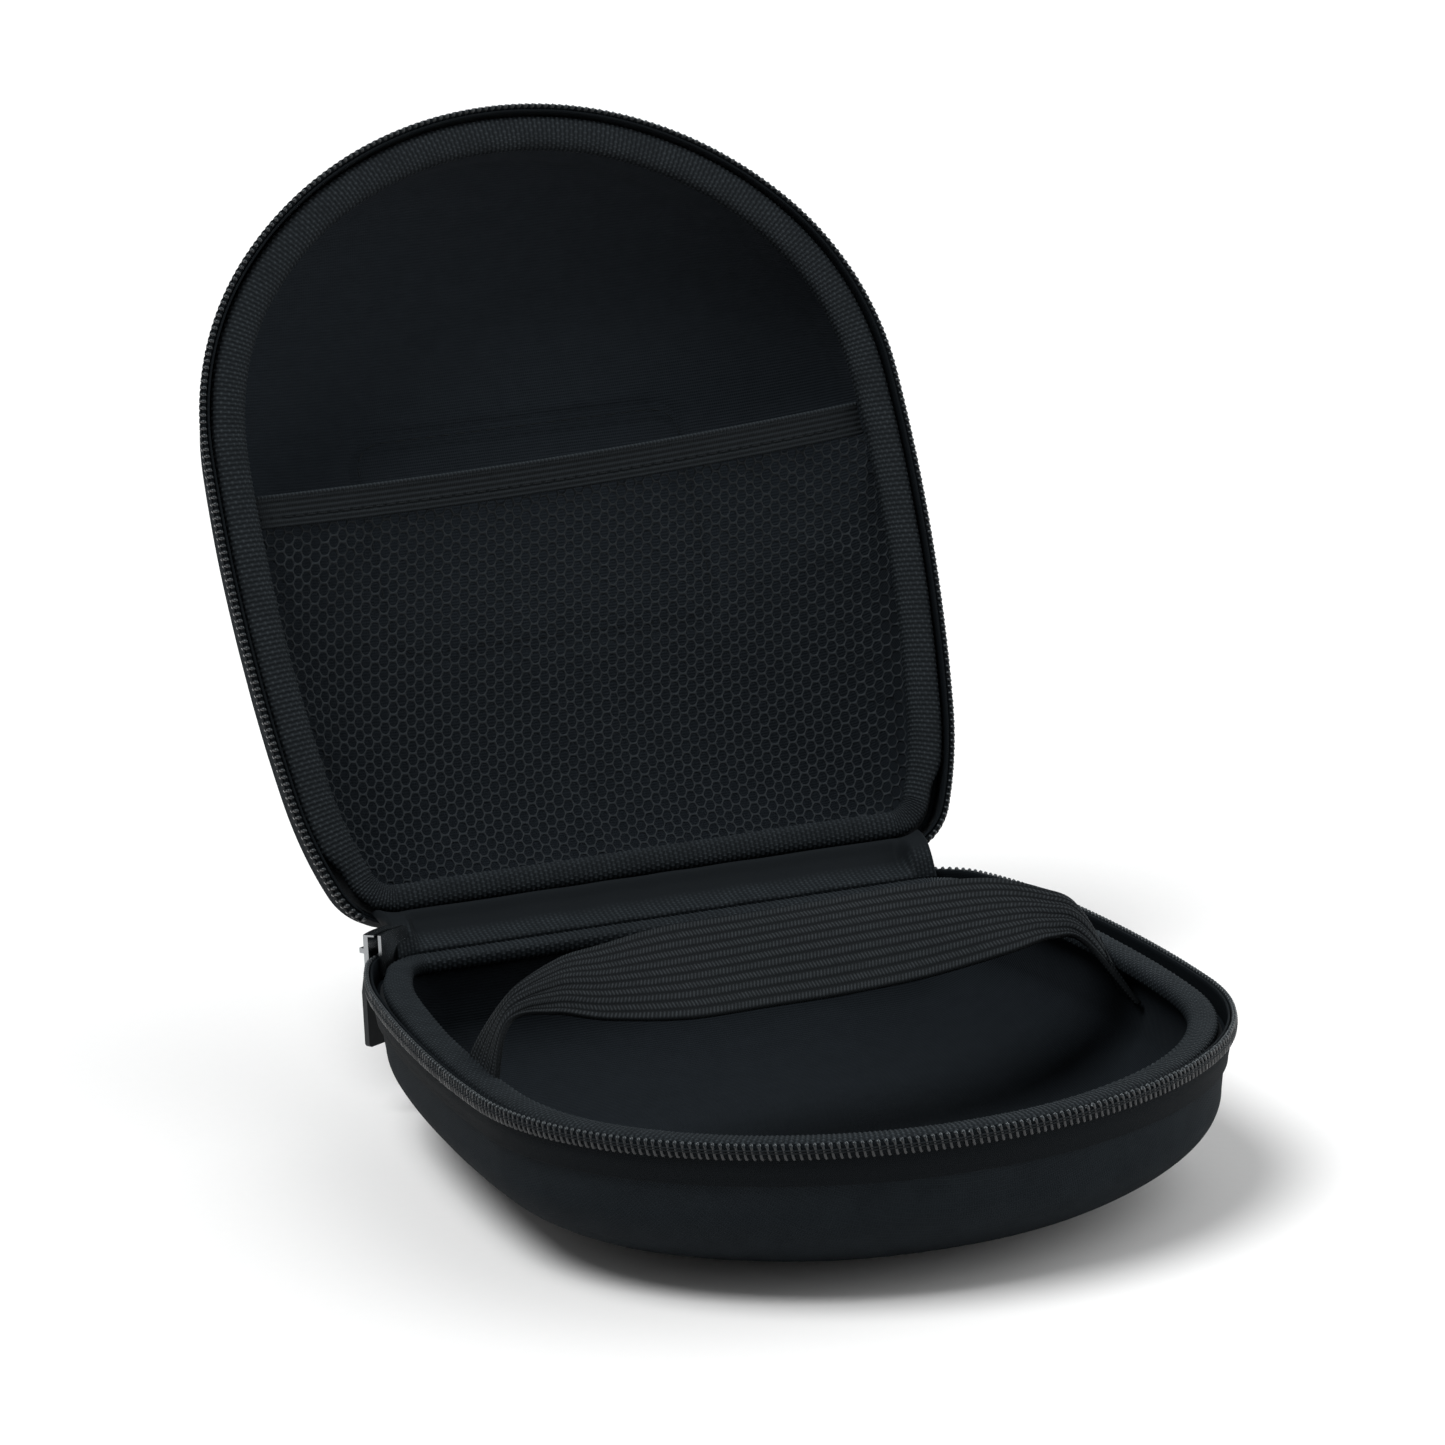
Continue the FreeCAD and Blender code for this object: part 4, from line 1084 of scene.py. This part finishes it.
def make_net(moves):
    """Net of round holes, with knots where the threads cross."""
    centre = net_centres()
    boundary, hole, corner = net_cell()
    upright = np.pad(centre, ((0, 0), (0, 1)))
    wobble = 0.10 * MM * np.stack([soft_noise(upright, 9 * MM, seed) for seed in (2, 4)], axis=-1)
    ridge = centre[:, None] + boundary
    shoulder = centre[:, None] + 0.62 * boundary + 0.38 * hole
    gap = centre[:, None] + hole + wobble[:, None]
    flat = np.concatenate([ridge, shoulder, gap, shoulder, ridge], axis=1)
    crest = NET_THREAD * np.where(corner, 1.35, 0.9)
    height = np.concatenate([crest, 0.86 * crest, np.zeros(12), -0.86 * crest, -crest])
    x, y = flat[..., 0], flat[..., 1]
    points = np.stack([x, y, np.full_like(x, NET_Z)], axis=-1)
    points = points + spread(moves, x / net_half_width(y), (y - net_top(x)) / (NET_REAR - net_top(x)))
    points[..., 2] += height
    sheet = Sheet("lid")
    numbers, _ = sheet.add_points(points, flat)
    rings = numbers.reshape(len(centre), 5, 12)
    after = np.roll(rings, -1, axis=2)
    quads = np.stack([rings[:, :-1], after[:, :-1], after[:, 1:], rings[:, 1:]], axis=-1).reshape(-1, 4)
    sheet.add_faces(quads, quads, flip=True)
    sheet.place("pocket_net", NET, "pocket_net", "mesh_pocket")


def hem_middle(x, down):
    """Middle surface of the hem, before its thickness, with a shallow forward bow."""
    bow = HEM_BOW * (1 - (x / HEM_HALF_LENGTH) ** 2) * (1 - 0.6 * down)
    curl = HEM_CURL * (1 - down) ** 3
    return np.stack([x, hem_top(x) + down * HEM_WIDTH, NET_Z + 0.55 * MM + bow + curl], axis=-1)


def hem_relief(x, down):
    """Height of the hem's face: a beaded edge, fine ribs and needle dimples."""
    place = down * HEM_WIDTH
    bead = bell(place - 0.55 * MM, 0.42 * MM) * (0.34 + 0.2 * np.cos(2 * pi * x / BEAD_PITCH))
    ribs = 0.15 * np.cos(2 * pi * place / HEM_RIB_PITCH) * smooth((place - 1.1 * MM) / (0.5 * MM))
    knit = 0.05 * np.cos(2 * pi * (x / (0.9 * MM) + 0.5 * np.round(place / HEM_RIB_PITCH)))
    edge = bell(place - HEM_WIDTH + 0.5 * MM, 0.4 * MM) * 0.22
    from_needle = np.mod(x / HEM_STITCH_PITCH + 0.5, 1.0) - 0.5
    needle = bell(from_needle * HEM_STITCH_PITCH, 0.5 * MM) * bell(place - NEEDLE_SHARE * HEM_WIDTH, 0.4 * MM)
    relief = HEM_FACE + (bead + ribs + knit + edge - 0.32 * needle) * MM
    return relief * rounded(np.minimum(place, HEM_WIDTH - place), 0.35 * MM, 0.05)


def make_hem():
    """Knitted elastic along the pocket's mouth."""
    along = np.linspace(-HEM_HALF_LENGTH, HEM_HALF_LENGTH, 620)
    x, down = np.meshgrid(along, np.linspace(0, 1, HEM_COLUMNS), indexing="ij")
    under = HEM_BACK * rounded(np.minimum(down, 1 - down), 0.05, 0.05)
    sheet = Sheet("lid")
    uv = np.stack([x, down * HEM_WIDTH], axis=-1)
    band(sheet, hem_middle(x, down), hem_relief(x, down), under, uv)
    sheet.place("pocket_hem_elastic", HEM, "elastic_webbing", "pocket_hem")


def stitch(sheet, ends, away, radius, lift):
    """One thread stitch: a short tube that dives into the cloth at both ends."""
    share = np.linspace(0, 1, 7)
    path = ends[0] + (ends[1] - ends[0]) * share[:, None]
    path = path + np.array(away) * (lift * np.sin(pi * share) ** 0.6)[:, None]
    sheet.tube(path, radius * (0.75 + 0.25 * np.sin(pi * share)))


def make_hem_stitches():
    """Row of short stitches along the lower part of the hem."""
    sheet = Sheet("lid")
    for number in range(HEM_STITCHES):
        x = np.array([number + 0.14, number + 0.86]) * HEM_STITCH_PITCH - HEM_STITCH_REACH
        ends = hem_middle(x, np.full(2, NEEDLE_SHARE)) + (0.0, 0.0, HEM_FACE)
        stitch(sheet, ends, (0.0, 0.0, 1.0), *HEM_THREAD)
    sheet.place("hem_stitching", SEAM_THREAD, "thread", "hem_stitches")


# ------------------------ blank badge on the lid
BADGE_PROFILE = (  # (inset, height) in mm from its edge inwards: soft edge, groove, raised field
    (0.0, 0.35), (0.05, 0.75), (0.25, 1.12), (0.6, 1.35), (1.0, 1.45), (2.2, 1.50), (2.7, 1.42),
    (3.0, 1.18), (3.3, 1.06), (3.7, 1.06), (4.0, 1.18), (4.3, 1.40), (4.8, 1.50), (8.0, 1.50),
)
BADGE_BASE_Z = 1.15 * MM  # its face stands a little proud of the lid
BADGE_FACES = (  # where the stitches lie outside and inside the lid, and which way they stand out
    (BADGE_BASE_Z - 1.44 * MM, -1.0),
    (LINING_OFFSET + LINING_THICKNESS + 0.88 * MM, 1.0),
)
BADGE_THREAD = (0.20 * MM, 0.12 * MM)
BADGE_SIGNS = np.array(((1, 1), (-1, 1), (-1, -1), (1, -1)))  # its four corners in turn


def badge_ring(inset, count):
    """Points round the badge's rounded outline, moved in by inset."""
    corner = max(BADGE_CORNER - inset, 1.5 * MM)
    centres = BADGE_SIGNS * (np.array((BADGE_HALF_LENGTH, BADGE_HALF_WIDTH)) - inset - corner)
    share = np.linspace(0, 1, count // 8, endpoint=False)
    ring = []
    for number, centre in enumerate(centres):
        turn = np.append(share, 1.0) * pi / 2 + number * pi / 2
        arc = centre + corner * np.stack([np.cos(turn), np.sin(turn)], axis=-1)
        following = centres[(number + 1) % 4]
        ring.append(arc[:-1])
        ring.append(arc[-1] + (following - centre) * share[:, None])
    return np.concatenate(ring)


def make_badge():
    """Blank rubbery patch with a soft edge and a groove round a plain raised field."""
    rows = []
    for inset, height in ((0.0, 0.0),) + BADGE_PROFILE:
        ring = badge_ring(inset * MM, 640)
        rows.append(np.pad(ring, ((0, 0), (0, 1)), constant_values=BADGE_BASE_Z - height * MM))
    points = np.stack(rows)
    sheet = Sheet("lid")
    sheet.sleeve(points, np.concatenate([points, points[:, :1]], axis=1)[..., :2])
    sheet.place("blank_badge", PATCH, "badge_patch", "lid_badge")


def make_badge_stitches():
    """Stitches just inside the badge's edge, seen outside and inside the lid."""
    ring = badge_ring(BADGE_STITCH_INSET, 3200)
    ring = np.concatenate([ring, ring[:1]])
    length = lengths_along(ring)
    sheet = Sheet("lid")
    for number in range(BADGE_STITCHES):
        at = (number + np.array((0.16, 0.84))) * length[-1] / BADGE_STITCHES
        for level, side in BADGE_FACES:
            x, y = (np.interp(at, length, ring[:, axis]) for axis in (0, 1))
            ends = np.stack([x, y, np.full(2, level)], axis=-1)
            stitch(sheet, ends, (0.0, 0.0, side), *BADGE_THREAD)
    sheet.place("badge_stitching", SEAM_THREAD, "thread", "badge_stitches")


# ------------------------ elastic strap
STRAP_STATIONS = (  # front edge, then rear edge, from the left wall to the right wall, in mm
    (-91.4, -12.0, 31.0, -91.4, 14.0, 31.5),
    (-89.6, -11.0, 43.0, -87.6, 13.0, 45.0),
    (-83.6, -4.0, 55.2, -78.6, 6.8, 60.4),
    (-69.4, 3.0, 53.6, -62.6, 18.6, 63.0),
    (-54.7, 2.6, 49.6, -48.6, 24.9, 63.0),
    (-34.4, -0.8, 47.5, -29.6, 31.8, 63.0),
    (-10.4, 1.5, 47.0, -6.8, 33.6, 62.7),
    (12.2, 2.8, 47.0, 16.2, 35.6, 62.5),
    (35.7, 6.0, 47.0, 39.5, 37.6, 62.5),
    (57.0, 7.2, 49.2, 62.0, 36.0, 61.8),
    (71.0, 11.2, 50.4, 75.0, 27.7, 59.5),
    (80.4, 11.5, 48.0, 83.6, 22.5, 54.0),
    (91.0, 2.0, 32.0, 91.0, 16.5, 33.0),
)
STRAP_HALF_THICKNESS = 0.7 * MM
STRAP_RELIEF = 0.15 * MM
STRAP_CORD = 0.20 * MM  # how much thicker its edges are
STRAP_PLEAT = 0.4 * MM
STRAP_CROWN = 0.9 * MM
STRAP_RIPPLE = 0.35 * MM
STRAP_RIBS = 11
STRAP_WIDTH = STRAP_RIBS * STRAP_RIB_PITCH
BARTACK_ENDS = (0.045, 0.955)
BARTACK_TURNS = 61
BARTACK_WIDTH = 0.9 * MM
BARTACK_LIFT = 0.62 * MM
BARTACK_RADIUS = 0.17 * MM


def strap_surface(share, across):
    """Middle surface of the strap; share 0..1 from the left wall, across 0..1 from the front edge."""
    stations = np.array(STRAP_STATIONS) * MM
    edges = curve_through(stations, share[:, 0] * (len(stations) - 1))
    front, rear = edges[:, None, :3], edges[:, None, 3:]
    return front + (rear - front) * across[..., None]


def press(piece):
    """Give a strap piece its own copy of its mesh."""
    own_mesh(piece)


def make_strap():
    """Ribbed elastic, gathered at both walls."""
    columns = STRAP_RIBS * 8 + 1
    share, across = np.meshgrid(np.linspace(0, 1, 700), np.linspace(0, 1, columns), indexing="ij")
    middle = strap_surface(share, across)
    width = np.linalg.norm(middle[:, -1] - middle[:, 0], axis=-1)
    gather = smooth(1 - width / STRAP_WIDTH)[:, None]
    pleat = np.cos(2 * pi * across * 3.5 + 0.6) * STRAP_PLEAT * gather * (1 - 0.5 * across)
    crown = STRAP_CROWN * np.sin(pi * across) * (1 - gather)
    ripple = STRAP_RIPPLE * np.sin(share * 19) * np.cos(across * 5)
    middle = middle + surface_normals(middle) * (pleat + crown + ripple)[..., None]
    from_edge = np.minimum(across, 1 - across)
    rib = np.abs(np.sin(pi * across * STRAP_RIBS)) ** 0.6
    height = STRAP_HALF_THICKNESS + STRAP_RELIEF * (rib - 1) + STRAP_CORD * bell(from_edge, 0.018)
    height = height * rounded(from_edge, 0.02, 0.08)
    along = lengths_along(middle[:, columns // 2])
    sheet = Sheet()
    uv = np.stack(np.broadcast_arrays(along[:, None], across * STRAP_WIDTH), axis=-1)
    band(sheet, middle, height, height, uv)
    press(sheet.place("strap_elastic", ELASTIC, "elastic_webbing", "elastic_strap"))


def make_bartacks():
    """Dense zigzag stitch bars near both ends of the strap."""
    sheet = Sheet()
    zigzag = BARTACK_WIDTH * (-1.0) ** np.arange(BARTACK_TURNS)[:, None]
    for end in BARTACK_ENDS:
        shares = np.linspace(end - 0.012, end + 0.012, 3)
        share, across = np.meshgrid(shares, np.linspace(0.06, 0.94, BARTACK_TURNS), indexing="ij")
        middle = strap_surface(share, across)
        line = middle[1] + surface_normals(middle)[1] * (STRAP_HALF_THICKNESS + BARTACK_LIFT)
        sheet.tube(line + unit(middle[2] - middle[0]) * zigzag, BARTACK_RADIUS)
    press(sheet.place("strap_bartack_thread", SEAM_THREAD, "thread", "strap_bartacks"))


# ------------------------ parts kept from the frame
KEPT_NODES = (  # node, material and how far its edges are softened
    ("base_shell", FOAM, 0.0),
    ("lid_shell", FOAM, 0.0),
    ("left_end_stop", COIL, 0.25 * MM),
    ("right_end_stop", COIL, 0.25 * MM),
    ("slider_body", METAL, 0.22 * MM),
    ("slider_crown", METAL, 0.25 * MM),
    ("puller_link", METAL, 0.2 * MM),
    ("puller_tab", PULLER, 0.35 * MM),
)


def dress(node, material, bevel):
    """Give a kept CAD node its material and soften its edges."""
    piece = frame["nodes"][node]
    piece.data.materials.clear()
    piece.data.materials.append(material)
    if bevel:
        rounder = piece.modifiers.new("soft_edges", "BEVEL")
        rounder.width = bevel
        rounder.segments = 3
        rounder.limit_method = "ANGLE"
        rounder.angle_limit = radians(40)
        rounder.harden_normals = False


make_halves()
for half_name in ("base", "lid"):
    make_binding(half_name)
for half_name in ("base", "lid"):
    make_coil(half_name)
    make_coil_core(half_name)
    make_coil_cord(half_name)
    make_tape(half_name)
make_outer_panel()
make_facing()
make_net(hang_net())
make_hem()
make_hem_stitches()
make_badge()
make_badge_stitches()
make_strap()
make_bartacks()
for kept_node in KEPT_NODES:
    dress(*kept_node)


# ------------------------ camera, floor and light
VIEW_AZIMUTH = radians(-20.043)
VIEW_ELEVATION = radians(14.450)
VIEW_ROLL = radians(-2.866)
VIEW_CENTRE = Vector((0.02108, 0.11618, 0.09192))
VIEW_DISTANCE = 1.98676
VIEW_LENS = 183.59
FLOOR_SIZE = 60.0
WORLD_DIM = 0.16
WORLD_LEFT = 0.05
WORLD_RIGHT = 1.9
WORLD_BEHIND = 0.25
SUN_FROM = (-0.46, -0.04, 1.0)
SUN_STRENGTH = 2.75
SUN_WIDTH = radians(36)
LIGHT_COLOUR = (0.87, 0.955, 1.0)  # a cool light; the floor's paper makes up for it


def make_camera():
    """Long lens, low in front and a little to the left."""
    a, e = VIEW_AZIMUTH, VIEW_ELEVATION
    back = Vector((sin(a) * cos(e), -cos(a) * cos(e), sin(e)))
    level = Vector((cos(a), sin(a), 0.0))
    right = cos(VIEW_ROLL) * level + sin(VIEW_ROLL) * back.cross(level)
    data = bpy.data.cameras.new("camera")
    data.lens = VIEW_LENS
    data.clip_start = 0.05
    data.clip_end = 100.0
    camera = bpy.data.objects.new("camera", data)
    matrix = np.eye(4)
    matrix[:3, :3] = np.array([right, back.cross(right), back]).T
    matrix[:3, 3] = VIEW_CENTRE + back * VIEW_DISTANCE
    bpy.context.scene.collection.objects.link(camera)
    camera.matrix_world = Matrix(matrix.tolist())
    bpy.context.scene.camera = camera


def floor_material():
    """White sweep: a faint grain on a matte sheet."""
    m = surface("floor_paper")
    grain = m.noise(3 * MM, detail=4.0)
    return m.finish(m.colour((0.93, 0.85, 0.81), (0.95, 0.866, 0.827), grain), 0.9, grain, 0.05 * MM,
                    specular=0.1)


def make_floor():
    """One very large pale floor."""
    sheet = Sheet()
    ends = np.array((-FLOOR_SIZE / 2, FLOOR_SIZE / 2))
    corners = np.pad(lattice(ends, ends), ((0, 0), (0, 0), (0, 1)))
    sheet.grid(corners, corners[..., :2])
    sheet.build("floor", floor_material(), shade_smooth=False)


def make_world():
    """Surroundings: dim all round and brightest on the right, but white to the camera."""
    w = Nodes(bpy.data.worlds.new("studio"))
    x, y, _ = w.coordinates("Generated")
    glow = WORLD_DIM
    for side, strength in ((w.times(x, -1.0), WORLD_LEFT), (x, WORLD_RIGHT), (y, WORLD_BEHIND)):
        glow = w.weighted(w.maths("MAXIMUM", side, 0.0), strength, glow)
    seen = w.node("ShaderNodeLightPath").outputs["Is Camera Ray"]
    shade = w.colour(LIGHT_COLOUR, (1.0, 1.0, 1.0), seen)
    w.feed(w.tree.nodes["Background"], {"Strength": w.maths("MAXIMUM", glow, seen), "Color": shade})
    bpy.context.scene.world = w.owner


def make_light():
    """A broad sun from above on the left, so the shadow falls soft to the right."""
    bpy.context.scene.view_settings.view_transform = "Standard"
    make_world()
    data = bpy.data.lights.new("sun", "SUN")
    data.energy = SUN_STRENGTH
    data.color = LIGHT_COLOUR
    data.angle = SUN_WIDTH
    lamp = bpy.data.objects.new("sun", data)
    lamp.rotation_euler = Vector(SUN_FROM).to_track_quat("Z", "Y").to_euler()
    bpy.context.scene.collection.objects.link(lamp)


make_camera()
make_floor()
make_light()
